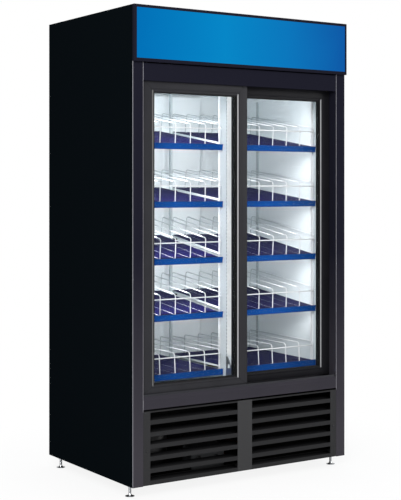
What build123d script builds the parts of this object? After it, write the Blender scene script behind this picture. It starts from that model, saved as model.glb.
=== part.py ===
from build123d import *
import os
from math import atan2, cos, degrees, radians, tan

# Upright sliding-door merchandiser. Millimetres, +Z up, the doors face -Y.
# The origin is on the floor, under the middle of the bounding box.

# Cabinet, from the floor up
cabinet_width = 1142
cabinet_depth = 770
foot_height = 50
machine_bay_height = 318
sill_height = 53
door_opening_height = 1320
header_height = 73
sign_gap = 4
sign_height = 236
sign_proud = 14

# Case sheet and walls
skin = 1.2
corner_radius = 4
stile_width = 52
rear_return = 18
top_flange = 20
liner_thickness = 2
cove_radius = 20
back_wall = 60
floor_thickness = 75
ceiling_thickness = 63
ceiling_rise = 9
jamb_depth = 148
header_shelf_depth = 90
header_lip = 12

# Lower front: sill and grille
sill_face_height = 38
sill_bevel_depth = 6
grille_gap = 1
grille_top_gap = 8
grille_depth = 18
grille_wall = 2
grille_side_margin = 34
grille_centre_bar = 77
grille_bottom_margin = 18
slots_per_bank = 6
slot_spacing = 50.5
slot_height = 32.7
blade_depth = 22
blade_rise = 12
blade_thickness = 2
grille_screw_height = 143
screw_radius = 4.5
screw_head = 2

# Illuminated sign
sign_border_left = 13
sign_border_right = 10
sign_border_top = 12
sign_border_bottom = 14
sign_face_thickness = 3
sign_face_recess = 1.5
sign_box_depth = 80
sign_box_inset = 14
sign_box_end_gap = 2
sign_edge_chamfer = 1
sign_lamp_radius = 8
sign_lamp_count = 2

# Sliding doors and their tracks
door_edge_gap = 3
door_overlap = 44
door_thickness = 26
door_setback = 13
door_track_spacing = 34
door_floor_gap = 7
door_top_rise = 12
door_stile = 60
door_top_rail = 60
door_bottom_rail = 42
door_edge_chamfer = 1
seal_width = 5
seal_recess = 1.5
seal_grip = 3
pane_thickness = 4
pane_gap = 12
grip_rib_width = 8
grip_rib_height = 1.2
grip_groove_width = 5
grip_groove_depth = 1.5
track_wall = 2
track_shelf_reach = 3.4
track_web_gap = 1.5
track_shelf_drop = 37
track_front_gap = 4
rail_setback = 22
roller_radius = 16
roller_width = 8
roller_gap = 0.3
axle_radius = 3
axle_clearance = 0.05
axle_head_radius = 5
axle_head = 2
hanger_thickness = 3
hanger_width = 40
hanger_inset = 80
hanger_foot_inset = 1
hanger_above_axle = 12
guide_length = 50
guide_width = 5
guide_drop = 4
guide_clearance = 0.6
track_lip_height = 9
track_rib_height = 5

# Centre post with its lamps
post_width = 26
post_setback = 79
post_depth = 92
slot_pitch = 15.875
slot_end_gap = 60
post_pitch_count = 8
post_slot_setback = 123
post_slot_width = 4
post_slot_height = 9
lens_width = 36
lens_thickness = 2.5
lens_bottom = 494
lens_top_gap = 10
bracket_width = 46
bracket_height = 98
bracket_thickness = 2
bracket_tip = 12
bracket_slope = 42
bracket_hook = 18

# Slotted shelf standards
standard_width = 16
standard_depth = 5
standard_wall = 1.5
rear_standard_lead = 46
standard_end_gap = 25
standard_pitch_count = 16
clip_width = 8
clip_height = 8

# Gravity shelves, from the top one down: front height above the cabinet base and rise to the rear
shelf_heights = [1440, 1184, 935, 690, 433]
shelf_rises = [79, 64, 84, 60, 7]
shelf_setback = 152
shelf_back_gap = 50
shelf_side_gap = 12
strip_height = 27
strip_depth = 5.5
strip_wall = 1.6
strip_end_gap = 3
lane_pitch = 78.5
lane_gap = 5
mat_thickness = 5.5
divider_wire = 4.5
divider_height = 86
divider_bend = 10
divider_lean = 5
frame_wire = 5
fence_wire = 5.5
fence_height = 68

# Air duct on the back wall
duct_width = 438
duct_depth = 30
duct_wall = 1.5
duct_radius = 8
duct_top_gap = 12
throat_depth = 22
return_opening_depth = 80
return_opening_lead = 20

# Refrigeration unit
pan_thickness = 2
pan_flange = 30
pan_front_setback = 32
boss_radius = 11
boss_height = 14
vent_count = 6
vent_width = 300
vent_height = 8
vent_spacing = 36
coil_side_gap = 64
coil_depth = 44
coil_height = 236
coil_front = 44
coil_fin_spacing = 54
coil_fin_gap = 27
coil_fin_depth = 12
coil_end_plate = 3
return_bend_count = 3
return_bend_height = 26
return_bend_reach = 14
tube_radius = 4.5
shroud_depth = 18
shroud_wall = 2
condenser_fan_radius = 105
evaporator_fan_radius = 78
fan_tip_clearance = 5
fan_shroud_gap = 4
blade_count = 5
fan_hub_radius = 22
fan_hub_depth = 16
fan_blade_root = 4
fan_blade_chord = 40
fan_blade_pitch = 28
fan_blade_sheet = 1.5
shaft_radius = 4
shaft_clearance = 0.05
motor_radius = 34
motor_sides = 12
motor_length = 55
motor_gap = 8
motor_foot_width = 34
motor_foot_length = 28
compressor_side_gap = 231
compressor_case_gap = 72
compressor_radius = 78
compressor_height = 185
compressor_shoulder = 30
compressor_sides = 24
compressor_plate = 3
compressor_plate_reach = 90
compressor_plate_depth = 124
compressor_mount_radius = 10
compressor_mount_sides = 8
compressor_mount_height = 14
compressor_mount_spacing = 96
terminal_cover_width = 56
terminal_cover_height = 60
terminal_cover_reach = 92
line_stub_radius = 8
line_stub_reach = 10
line_radius = 4
line_sides = 8
line_bend = 22
line_clearance = 46
discharge_height = 102
suction_height = 92
liquid_height = 34
drier_radius = 12
drier_length = 90
case_back_gap = 24
case_width = 560
case_depth = 336
case_height = 256
case_wall = 14
bulkhead_back_gap = 117
bulkhead_thickness = 3
spigot_radius = 9
spigot_length = 16
spigot_inset = 40
evaporator_width = 480
evaporator_height = 190
evaporator_depth = 70
tray_length = 250
tray_depth = 220
tray_height = 36
tray_corner = 10
tray_wall = 2
control_width = 170
control_height = 120
control_depth = 70
control_radius = 6
control_setback = 52
control_spacing = 85
knob_radius = 20
knob_sides = 12
knob_depth = 14
knob_base = 5
knob_grip_width = 9
knob_gap = 0.5
spindle_length = 10
rocker_width = 16
rocker_height = 26
rocker_depth = 9
rocker_tilt = 8
rocker_pivot_radius = 4
rocker_gap = 0.5

# Levelling feet
foot_inset = 28
foot_front_setback = 70
foot_back_setback = 65
foot_stem_radius = 6
foot_stem_reach = 6
foot_disc_radius = 20
foot_disc_sides = 12
foot_disc_height = 10
foot_disc_flare = 52
foot_collar_radius = 10
foot_collar_height = 8
foot_collar_drop = 4
foot_clearance = 0.05

# Planes and levels that the pieces share
half = cabinet_width / 2
front = sign_proud - (cabinet_depth + sign_proud) / 2
back = front + cabinet_depth
base = foot_height
bay_top = base + machine_bay_height
sill_top = bay_top + sill_height
opening_top = sill_top + door_opening_height
header_top = opening_top + header_height
sign_bottom = header_top + sign_gap
roof = sign_bottom + sign_height
room_half = half - stile_width
room_front = front + jamb_depth
room_back = back - back_wall
room_floor = bay_top + floor_thickness
room_ceiling = opening_top + ceiling_rise
ceiling_top = room_ceiling + ceiling_thickness
post_half = post_width / 2
column_width = room_half - post_half
column_centre = post_half + column_width / 2
shelf_length = room_back - front - shelf_setback - shelf_back_gap
rear_standard_setback = shelf_setback + shelf_length - rear_standard_lead
lane_count = int((column_width - 2 * shelf_side_gap) / lane_pitch)
duct_front = room_back - duct_depth


def block(x0, x1, y0, y1, z0, z1):
    """A box between two opposite corners."""
    middle = Pos((x0 + x1) / 2, (y0 + y1) / 2, (z0 + z1) / 2)
    return middle * Box(abs(x1 - x0), abs(y1 - y0), abs(z1 - z0))


def along_x(profile, x0, x1):
    """Push a profile drawn in Y and Z along X."""
    return Pos(x0, 0, 0) * extrude(Plane.YZ * profile, x1 - x0, dir=(1, 0, 0))


def folded(path, thickness, side):
    """The outline of a bent sheet or wire whose one face follows the path."""
    return make_face(offset(path, thickness, kind=Kind.INTERSECTION, side=side))


def bent(points, cut):
    """A path whose corners are cut off at one distance along both runs."""
    corners = [Vector(*point) for point in points]
    route = [corners[0]]
    for before, corner, after in zip(corners, corners[1:], corners[2:]):
        route.append(corner + (before - corner).normalized() * cut)
        route.append(corner + (after - corner).normalized() * cut)
    return Polyline(*route, corners[-1])


def rod_y(x, z, y0, y1, radius):
    """A round bar along Y."""
    return Pos(x, y0, z) * Rot(-90, 0, 0) * extrude(Circle(radius), y1 - y0)


def rod_z(x, y, z0, z1, radius):
    """A round bar along Z."""
    return Pos(x, y, z0) * extrude(Circle(radius), z1 - z0)


def rod_x(y, z, x0, x1, radius):
    """A round bar along X."""
    return Pos(x0, y, z) * Rot(0, 90, 0) * extrude(Circle(radius), x1 - x0)


def bar_y(x, z, y0, y1, radius, sides):
    """A bar along Y with flat sides."""
    return Pos(x, y0, z) * Rot(-90, 0, 0) * extrude(RegularPolygon(radius, sides), y1 - y0)


def both_sides(piece):
    """A piece and its mirror image across the middle of the cabinet."""
    return [piece, mirror(piece, Plane.YZ)]


# Case


def side_panel():
    """Left side sheet with its front stile and its rear return."""
    plan = Rectangle(stile_width, cabinet_depth, align=(Align.MIN, Align.MIN))
    plan = fillet(plan.vertices().sort_by(Axis.X)[0:2].sort_by(Axis.Y)[0], corner_radius)
    inner = Pos(skin, skin) * Rectangle(stile_width, cabinet_depth - 2 * skin, align=(Align.MIN, Align.MIN))
    inner = fillet(inner.vertices().sort_by(Axis.X)[0:2].sort_by(Axis.Y)[0], corner_radius - skin)
    rear = Pos(rear_return, cabinet_depth / 2)
    rear = rear * Rectangle(stile_width, cabinet_depth, align=(Align.MIN, Align.MIN))
    sheet = plan - inner - rear
    return Pos(-half, front, base) * extrude(sheet, roof - base)


def top_panel():
    """Roof sheet with flanges turned down inside the case."""
    inside = half - skin
    shell = block(-inside, inside, front + skin, back - skin, roof - top_flange, roof)
    shell = fillet(shell.edges().filter_by(Axis.Z).group_by(Axis.Y)[0], corner_radius - skin)
    reach = inside - skin
    hollow = block(-reach, reach, front, back - 2 * skin, roof - top_flange, roof - skin)
    return shell - hollow


def back_panel():
    """Flat rear sheet between the returns, down to the machine bay."""
    reach = half - rear_return
    return block(-reach, reach, back - skin, back, bay_top, roof)


def rear_vent_cover():
    """Lower rear sheet with two banks of pressed vents."""
    reach = half - rear_return
    cover = block(-reach, reach, back - skin, back, base, bay_top)
    bank_height = (vent_count - 1) * vent_spacing
    lowest = (base + bay_top - bank_height) / 2
    for centre in (-reach / 2, reach / 2):
        for row in range(vent_count):
            z = lowest + row * vent_spacing
            slot = Pos(centre, back, z) * Box(vent_width, 4 * skin, vent_height)
            cover -= slot
    return cover


def foot_places():
    """Where the four levelling feet stand, by name."""
    x = half - foot_inset
    y0 = front + foot_front_setback
    y1 = back - foot_back_setback
    return {"front_left": (-x, y0), "front_right": (x, y0), "rear_left": (-x, y1), "rear_right": (x, y1)}


def base_pan():
    """Machine tray with turned-up flanges and a bored nut for each foot."""
    reach = half - skin
    y0 = front + pan_front_setback
    y1 = back - skin
    pan = block(-reach, reach, y0, y1, base, base + pan_flange)
    inner = reach - pan_thickness
    pan -= block(-inner, inner, y0 + pan_thickness, y1 - pan_thickness, base + pan_thickness, base + pan_flange)
    nut = extrude(RegularPolygon(boss_radius, 6), boss_height)
    for x, y in foot_places().values():
        pan += Pos(x, y, base) * nut
        pan -= rod_z(x, y, base, base + boss_height, foot_stem_radius + foot_clearance)
    return pan


def floor_openings(z0, z1):
    """Return opening and supply throat through the cabinet floor."""
    reach = duct_width / 2 - duct_wall - duct_radius
    y0 = back - case_back_gap - case_depth + return_opening_lead
    intake = block(-reach, reach, y0, y0 + return_opening_depth, z0, z1)
    throat = block(-reach, reach, room_back - duct_wall - throat_depth, room_back - duct_wall, z0, z1)
    return intake + throat


def insulation():
    """Foamed panels round the refrigerated room."""
    outer = half - skin
    inner = room_half + liner_thickness
    liner_back = room_back + liner_thickness
    left = block(-outer, -inner, front + skin, back - skin, bay_top, ceiling_top)
    left = fillet(left.edges().filter_by(Axis.Z).group_by(Axis.X)[0].sort_by(Axis.Y)[0], corner_radius - skin)
    rear = block(-inner, inner, liner_back, back - skin, bay_top, ceiling_top)
    y0 = front + header_shelf_depth
    ceiling = block(-inner, inner, y0, liner_back, room_ceiling + liner_thickness, ceiling_top)
    floor_top = room_floor - liner_thickness
    floor = block(-inner, inner, room_front, liner_back, bay_top, floor_top)
    floor += block(-inner, inner, front + sill_bevel_depth + skin, room_front, bay_top, sill_top - skin)
    floor -= floor_openings(bay_top, floor_top)
    return both_sides(left) + [rear, ceiling, floor]


def room_space():
    """Air space of the refrigerated room, coved along its four long edges."""
    room = block(-room_half, room_half, room_front, room_back, room_floor, room_ceiling)
    return fillet(room.edges().filter_by(Axis.Y), cove_radius)


def inner_liner():
    """White liner of the room, open to the front."""
    inner = room_half + liner_thickness
    shell = block(-inner, inner, room_front, room_back + liner_thickness,
                  room_floor - liner_thickness, room_ceiling + liner_thickness)
    return shell - room_space() - floor_openings(room_floor - liner_thickness, room_floor)


def air_duct_cover():
    """Shallow white duct that lifts cold air from the floor throat to the ceiling."""
    reach = duct_width / 2
    top = room_ceiling - duct_top_gap
    cover = block(-reach, reach, duct_front, room_back, room_floor, top)
    cover = fillet(cover.edges().filter_by(Axis.Z).sort_by(Axis.Y)[0:2], duct_radius)
    hollow = block(duct_wall - reach, reach - duct_wall, duct_front + duct_wall, room_back, room_floor, top)
    hollow = fillet(hollow.edges().filter_by(Axis.Z).sort_by(Axis.Y)[0:2], duct_radius - duct_wall)
    return cover - hollow


def header_panel():
    """Black panel above the doors, with a lip turned in below and a shelf for the track."""
    y0 = front
    points = [(y0 + header_lip, opening_top), (y0, opening_top), (y0, header_top),
              (y0 + header_shelf_depth, header_top)]
    sheet = folded(Polyline(*points), skin, Side.RIGHT)
    return along_x(sheet, -room_half, room_half)


def sill_rail():
    """Lower rail: flat face, bevel and the ledge that carries the bottom track."""
    y0 = front
    y1 = y0 + sill_bevel_depth
    face_top = bay_top + sill_face_height
    points = [(y1 + skin, bay_top), (y0, bay_top), (y0, face_top),
              (y1, sill_top), (room_front, sill_top)]
    sheet = folded(Polyline(*points), skin, Side.RIGHT)
    return along_x(sheet, -room_half, room_half)


def door_jambs():
    """Black strips that line the sides of the door opening."""
    z0 = sill_top
    z1 = room_ceiling + liner_thickness
    jamb = block(-room_half - liner_thickness, -room_half, front + skin, room_front, z0, z1)
    return both_sides(jamb)


# Lower grille


def grille_banks():
    """Left and right limits of the two banks of slots."""
    outer = room_half - grille_side_margin
    inner = grille_centre_bar / 2
    return [(-outer, -inner), (inner, outer)]


def grille_slots():
    """Bottom of each slot."""
    lowest = base + grille_gap + grille_bottom_margin
    return [lowest + row * slot_spacing for row in range(slots_per_bank)]


def lower_grille():
    """Grille with a turned-back rim and a sloping blade behind each slot."""
    z0 = base + grille_gap
    z1 = bay_top - grille_top_gap
    grille = block(-room_half, room_half, front, front + grille_depth, z0, z1)
    reach = room_half - grille_wall
    y0 = front + grille_wall
    grille -= block(-reach, reach, y0, front + grille_depth, z0 + grille_wall, z1 - grille_wall)
    for x0, x1 in grille_banks():
        for z in grille_slots():
            grille -= block(x0, x1, front, y0, z, z + slot_height)
    for x0, x1 in grille_banks():
        for z in grille_slots():
            y1 = y0 + blade_depth
            blade = Polygon((y0, z - blade_thickness), (y1, z + blade_rise - blade_thickness),
                            (y1, z + blade_rise), (y0, z), align=None)
            grille += along_x(blade, x0, x1)
    return grille


def screw_front(x, z):
    """Pan-head screw on the front."""
    return rod_y(x, z, front - screw_head, front, screw_radius)


def grille_screws():
    """Screws in the grille's side margins."""
    x = room_half - grille_side_margin / 2
    return both_sides(screw_front(-x, base + grille_screw_height))


# Illuminated sign


def sign_box():
    """Black surround with the lamp box behind it."""
    y0 = front - sign_proud
    surround = block(-half, half, y0, front, sign_bottom, roof)
    surround = chamfer(surround.faces().sort_by(Axis.Y)[0].edges(), sign_edge_chamfer)
    reach = room_half - sign_box_end_gap
    z0 = sign_bottom + sign_box_inset
    z1 = roof - top_flange - sign_box_end_gap
    box = surround + block(-reach, reach, front, front + sign_box_depth, z0, z1)
    wall = 2 * skin
    box -= block(wall - reach, reach - wall, y0, front + sign_box_depth - wall, z0 + wall, z1 - wall)
    x0, x1, z0, z1 = sign_window()
    box -= block(x0, x1, y0, y0 + sign_face_recess + sign_face_thickness, z0, z1)
    return box


def sign_window():
    """Limits of the blue face inside its black border."""
    return (sign_border_left - half, half - sign_border_right,
            sign_bottom + sign_border_bottom, roof - sign_border_top)


def sign_face():
    """Blue translucent panel."""
    x0, x1, z0, z1 = sign_window()
    y0 = front - sign_proud + sign_face_recess
    return block(x0, x1, y0, y0 + sign_face_thickness, z0, z1)


def sign_lamps():
    """Lamp tubes across the sign box, held by its end walls."""
    reach = room_half - sign_box_end_gap - 2 * skin
    y = front + sign_box_depth / 2
    lamps = []
    for row in range(sign_lamp_count):
        z = sign_bottom + sign_height * (row + 1) / (sign_lamp_count + 1)
        lamps.append(rod_x(y, z, -reach, reach, sign_lamp_radius))
    return lamps


# Tracks and doors

door_width = room_half - door_edge_gap + door_overlap / 2
door_bottom = sill_top + door_floor_gap
door_top = opening_top + door_top_rise
axle_height = header_top - skin - track_shelf_drop + roller_gap + roller_radius


def door_front(side):
    """Front face of a door: the left one runs in front of the right one."""
    return front + door_setback + (door_track_spacing if side > 0 else 0)


def rail_centre(side):
    """Middle of the rail that carries a door's rollers."""
    return door_front(side) + rail_setback


def top_track():
    """Extruded track: a web for each door with a rail along its foot."""
    top = header_top - skin
    shelf = top - track_shelf_drop
    y0 = front + skin + track_front_gap
    depth = header_shelf_depth - track_front_gap - skin
    profile = Pos(y0, top) * Rectangle(depth, track_wall, align=(Align.MIN, Align.MAX))
    web_height = track_shelf_drop + track_wall
    for side in (-1, 1):
        y = rail_centre(side)
        web = y + roller_width / 2 + roller_gap + axle_head + track_web_gap
        profile += Pos(web, top) * Rectangle(track_wall, web_height, align=(Align.MIN, Align.MAX))
        rail = Rectangle(web - y + track_shelf_reach, track_wall, align=(Align.MAX, Align.MAX))
        profile += Pos(web, shelf) * rail
    return along_x(profile, -room_half, room_half)


def bottom_track():
    """Extruded sill track: a front lip and a guide groove under each door."""
    y0 = front + sill_bevel_depth
    depth = door_setback + door_track_spacing + door_thickness
    profile = Pos(y0, sill_top) * Rectangle(depth, track_wall, align=(Align.MIN, Align.MIN))
    profile += Pos(y0, sill_top) * Rectangle(track_wall, track_lip_height, align=(Align.MIN, Align.MIN))
    rib_gap = guide_width / 2 + guide_clearance
    for side in (-1, 1):
        y = door_front(side) + door_thickness / 2
        ribs = Pos(y - rib_gap, sill_top) * Rectangle(track_wall, track_rib_height, align=(Align.MAX, Align.MIN))
        ribs += Pos(y + rib_gap, sill_top) * Rectangle(track_wall, track_rib_height, align=(Align.MIN, Align.MIN))
        profile += ribs
    return along_x(profile, -room_half, room_half)


def door_left(side):
    """Left edge of a door when it is shut."""
    return -room_half + door_edge_gap if side < 0 else room_half - door_edge_gap - door_width


def door_window(side, grow):
    """Limits of a door's clear glass, grown on every side."""
    x0 = door_left(side) + door_stile - grow
    x1 = door_left(side) + door_width - door_stile + grow
    return x0, x1, door_bottom + door_bottom_rail - grow, door_top - door_top_rail + grow


def door_frame(side):
    """Door frame with a raised grip rib and a groove down each stile."""
    y0 = door_front(side)
    left = door_left(side)
    right = left + door_width
    frame = block(left, right, y0, y0 + door_thickness, door_bottom, door_top)
    x0, x1, z0, z1 = door_window(side, seal_width)
    frame -= block(x0, x1, y0, y0 + door_thickness, z0, z1)
    for edge, toward in ((x0, -1), (x1, 1)):
        rib_end = edge + toward * grip_rib_width
        rib = block(edge, rib_end, y0 - grip_rib_height, y0, z0, z1)
        rib = chamfer(rib.faces().sort_by(Axis.Y)[0].edges().filter_by(Axis.Z), grip_rib_height / 2)
        groove_end = rib_end + toward * grip_groove_width
        frame = frame + rib - block(rib_end, groove_end, y0, y0 + grip_groove_depth, door_bottom, door_top)
    upright = frame.edges().filter_by(Axis.Z).sort_by(Axis.X)
    front_corners = [ends.sort_by(Axis.Y)[0] for ends in (upright[:2], upright[-2:])]
    return chamfer(front_corners, door_edge_chamfer)


def door_glass(side):
    """Two panes, held in the seal's groove."""
    x0, x1, z0, z1 = door_window(side, seal_grip)
    y0 = door_front(side) + (door_thickness - 2 * pane_thickness - pane_gap) / 2
    outer = block(x0, x1, y0, y0 + pane_thickness, z0, z1)
    y1 = y0 + pane_thickness + pane_gap
    inner = block(x0, x1, y1, y1 + pane_thickness, z0, z1)
    return [outer, inner]


def door_seal(side):
    """Rubber channel round the panes, with the spacer between them."""
    x0, x1, z0, z1 = door_window(side, seal_width)
    y0 = door_front(side) + seal_recess
    y1 = door_front(side) + door_thickness - seal_recess
    seal = block(x0, x1, y0, y1, z0, z1)
    x0, x1, z0, z1 = door_window(side, 0)
    seal -= block(x0, x1, y0, y1, z0, z1)
    for pane in door_glass(side):
        seal -= pane
    return seal


def hanger_places(side):
    """Where a door's two hangers stand."""
    left = door_left(side)
    return [left + hanger_inset, left + door_width - hanger_inset]


def door_hangers(side):
    """Angle brackets on the door's top edge, each with a bolt for its roller's axle."""
    y_rail = rail_centre(side)
    plate_back = y_rail - roller_width / 2 - roller_gap
    y0 = plate_back - hanger_thickness
    hangers = []
    for x in hanger_places(side):
        x0 = x - hanger_width / 2
        x1 = x + hanger_width / 2
        plate = block(x0, x1, y0, plate_back, door_top, axle_height + hanger_above_axle)
        plate = chamfer(plate.edges().filter_by(Axis.Y).sort_by(Axis.Z)[2:4], hanger_above_axle / 2)
        foot_front = door_front(side) + hanger_foot_inset
        foot = block(x0, x1, foot_front, plate_back, door_top, door_top + hanger_thickness)
        axle_end = y_rail + roller_width / 2 + roller_gap
        axle = rod_y(x, axle_height, plate_back, axle_end, axle_radius)
        head = bar_y(x, axle_height, axle_end, axle_end + axle_head, axle_head_radius, 6)
        hangers.append(plate + foot + axle + head)
    return hangers


def door_roller(side, place):
    """Flat-treaded wheel that runs on the rail between the web and the hanger's plate."""
    x = hanger_places(side)[place]
    y0 = rail_centre(side) - roller_width / 2
    y1 = y0 + roller_width
    wheel = rod_y(x, axle_height, y0, y1, roller_radius)
    return wheel - rod_y(x, axle_height, y0, y1, axle_radius + axle_clearance)


def door_guides(side):
    """Shoes under the door that run in the bottom track's groove."""
    y = door_front(side) + door_thickness / 2
    shoes = []
    for x in hanger_places(side):
        shoe = block(x - guide_length / 2, x + guide_length / 2, y - guide_width / 2, y + guide_width / 2,
                     door_bottom - guide_drop, door_bottom)
        shoes.append(chamfer(shoe.edges().filter_by(Axis.Z), guide_width / 4))
    return shoes


# Centre post and lamps


def slot_levels(pitch_count):
    """Heights of the shelf slots that are cut, so many pitches apart."""
    z0 = room_floor + slot_end_gap
    spacing = slot_pitch * pitch_count
    count = int((room_ceiling - slot_end_gap - z0) / spacing) + 1
    return [z0 + row * spacing for row in range(count)]


def centre_post():
    """Post between the two columns of shelves, slotted from side to side."""
    y0 = front + post_setback
    post = block(-post_half, post_half, y0, y0 + post_depth, room_floor, room_ceiling)
    slot_y = front + post_slot_setback
    for z in slot_levels(post_pitch_count):
        post -= Pos(0, slot_y, z) * Box(post_width, post_slot_width, post_slot_height)
    return post


def lens_limits():
    """Front, back, bottom and top of the post's lamp lenses."""
    y0 = front + post_setback
    return y0, y0 + lens_width, base + lens_bottom, room_ceiling - lens_top_gap


def post_lamps():
    """Long white lamp lenses with rounded lower ends, one on each side of the post."""
    y0, y1, z0, z1 = lens_limits()
    radius = (y1 - y0) / 2
    outline = Pos(y0 + radius, (z0 + radius + z1) / 2) * Rectangle(y1 - y0, z1 - z0 - radius)
    outline += Pos(y0 + radius, z0 + radius) * Circle(radius)
    lens = along_x(outline, -post_half - lens_thickness, -post_half)
    return both_sides(lens)


def post_brackets():
    """Pale plates that tie the post's foot to the floor, each with a square hole for a hook."""
    y0 = front + post_setback
    y1 = y0 + bracket_width
    z1 = room_floor + bracket_height
    outline = Polyline((y0, room_floor), (y1, room_floor), (y1, z1), (y1 - bracket_tip, z1),
                       (y0, z1 - bracket_slope), close=True)
    plate = make_face(outline)
    plate -= Pos(y0 + bracket_width / 2, z1 - bracket_slope) * Rectangle(bracket_hook, bracket_hook)
    return both_sides(along_x(plate, -post_half - bracket_thickness, -post_half))


# Standards, clips and shelves


def standard_strip(x, y, toward, end_gap):
    """Slotted channel whose slotted face looks along toward, in X."""
    x_face = x + toward * standard_depth
    x_inner = x_face - toward * standard_wall
    half_width = standard_width / 2
    inner_half = half_width - standard_wall
    z0 = room_floor + end_gap
    z1 = room_ceiling - end_gap
    channel = block(x, x_face, y - half_width, y + half_width, z0, z1)
    channel -= block(x, x_inner, y - inner_half, y + inner_half, z0, z1)
    for z in slot_levels(standard_pitch_count):
        channel -= Pos(x_face, y, z) * Box(3 * standard_wall, post_slot_width, post_slot_height)
    return channel


def shelf_standards():
    """Four wall standards, and two pairs back to back on the centre line."""
    y_front = front + post_setback + post_depth + standard_width / 2
    y_rear = front + rear_standard_setback
    strips = []
    for toward in (-1, 1):
        strips.append(standard_strip(-toward * room_half, y_front, toward, standard_end_gap))
        strips.append(standard_strip(-toward * room_half, y_rear, toward, standard_end_gap))
        strips.append(standard_strip(toward * (post_half - standard_depth), y_front, toward, standard_end_gap))
        strips.append(standard_strip(0, y_rear, toward, 0))
    return strips


def shelf_place(level, side):
    """Frame of a shelf: Y runs up its slope from the front legs, Z is square to it."""
    tilt = degrees(atan2(shelf_rises[level], shelf_length))
    return Pos(side * column_centre, front + shelf_setback, base + shelf_heights[level]) * Rot(tilt, 0, 0)


rack_half = lane_count * lane_pitch / 2
frame_bottom = -mat_thickness - frame_wire


def divider():
    """Bent wire between two lanes: a leaning front leg, a top run and a rear leg."""
    half_wire = divider_wire / 2
    top = divider_height + half_wire
    foot = -mat_thickness - divider_wire
    lean = (top - foot) * tan(radians(divider_lean))
    front_run = bent([(-half_wire, foot), (lean - half_wire, top), (shelf_length + half_wire, top)], divider_bend)
    path = front_run + Line(front_run @ 1, (shelf_length + half_wire, foot))
    outline = folded(path, divider_wire, Side.RIGHT)
    below = Rectangle(2 * shelf_length, shelf_length, align=(Align.CENTER, Align.MAX))
    outline -= Pos(shelf_length / 2, -mat_thickness) * below
    return along_x(outline, -half_wire, half_wire)


def shelf_rack():
    """Wire shelf: a base frame with a cross wire, the dividers and the fence wire."""
    wire = frame_wire / 2
    x1 = rack_half + wire
    y1 = shelf_length
    base_frame = block(-x1, x1, -wire, y1 + wire, frame_bottom, -mat_thickness)
    base_frame -= block(wire - rack_half, rack_half - wire, wire, y1 - wire, frame_bottom, -mat_thickness)
    middle = y1 / 2
    cross_wire = block(wire - rack_half, rack_half - wire, middle - wire, middle + wire, frame_bottom, -mat_thickness)
    rack = [base_frame, cross_wire]
    for number in range(lane_count + 1):
        rack.append(Pos(number * lane_pitch - rack_half, 0, 0) * divider())
    leg_frame = Pos(0, 0, -mat_thickness) * Rot(-divider_lean, 0, 0)
    y0 = -divider_wire / 2 - fence_wire
    z0 = fence_height + mat_thickness - fence_wire / 2
    rack.append(leg_frame * block(-x1, x1, y0, y0 + fence_wire, z0, z0 + fence_wire))
    return rack


def lane_mats():
    """A moulded strip on top of the wires in each lane, between the dividers."""
    reach = lane_pitch / 2 - lane_gap
    mats = []
    for lane in range(lane_count):
        x = (lane + 0.5) * lane_pitch - rack_half
        mats.append(block(x - reach, x + reach, frame_wire, shelf_length - frame_wire, -mat_thickness, 0))
    return mats


def price_strip():
    """Label channel on the shelf's front wire, with its lips turned forward."""
    reach = column_width / 2 - strip_end_gap
    y_back = -frame_wire / 2
    profile = Pos(y_back, 0) * Rectangle(strip_depth, strip_height, align=(Align.MAX, Align.MAX))
    hollow_height = strip_height - 2 * strip_wall
    profile -= Pos(y_back - strip_wall, -strip_wall) * Rectangle(strip_depth, hollow_height,
                                                                 align=(Align.MAX, Align.MAX))
    profile += Pos(y_back - strip_wall, -strip_wall) * Rectangle(strip_wall, hollow_height,
                                                                 align=(Align.MAX, Align.MAX))
    return along_x(profile, -reach, reach)


def shelf_clips(level, side):
    """Four tabs that hook on the standards and carry a shelf's side wires."""
    tilt = atan2(shelf_rises[level], shelf_length)
    y_front = post_setback + post_depth + standard_width / 2 - shelf_setback
    y_rear = rear_standard_setback - shelf_setback
    wall_face = room_half - standard_depth - column_centre
    places = [(y_front, wall_face), (y_front, post_half - column_centre),
              (y_rear, wall_face), (y_rear, standard_depth - column_centre)]
    clips = []
    for y_level, face in places:
        y = y_level / cos(tilt) + frame_bottom * tan(tilt)
        y0 = y - clip_width / 2
        y1 = y + clip_width / 2
        inward = -1 if face > 0 else 1
        wire = -inward * (rack_half - frame_wire)
        clip = block(face, wire, y0, y1, frame_bottom - clip_height, frame_bottom)
        clips.append(clip if side > 0 else mirror(clip, Plane.YZ))
    return clips


def on_shelves(pieces, sides):
    """Copies of a shelf's pieces at every level of the given columns."""
    places = [shelf_place(level, side) for side in sides for level in range(len(shelf_heights))]
    return [place * piece for place in places for piece in pieces]


def all_clips():
    """Clips under every shelf."""
    clips = []
    for side in (-1, 1):
        for level in range(len(shelf_heights)):
            clips += [shelf_place(level, side) * clip for clip in shelf_clips(level, side)]
    return clips


# Refrigeration unit

pan_top = base + pan_thickness
coil_width = half - grille_centre_bar - coil_side_gap
coil_centre = grille_centre_bar + coil_width / 2
shroud_front = front + coil_front + coil_depth
fan_z = pan_top + coil_height / 2
fan_y = shroud_front + shroud_depth + fan_shroud_gap
case_front = back - case_back_gap - case_depth
case_bottom = bay_top - case_height
stub_end = compressor_radius + line_stub_reach
compressor_x = compressor_side_gap - half
compressor_y = case_front - compressor_case_gap - stub_end
compressor_floor = pan_top + compressor_mount_height
evaporator_floor = case_bottom + case_wall
evaporator_fan_z = evaporator_floor + evaporator_height / 2
bulkhead_front = case_front + case_depth - bulkhead_back_gap
evaporator_fan_y = bulkhead_front + fan_hub_depth


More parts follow.
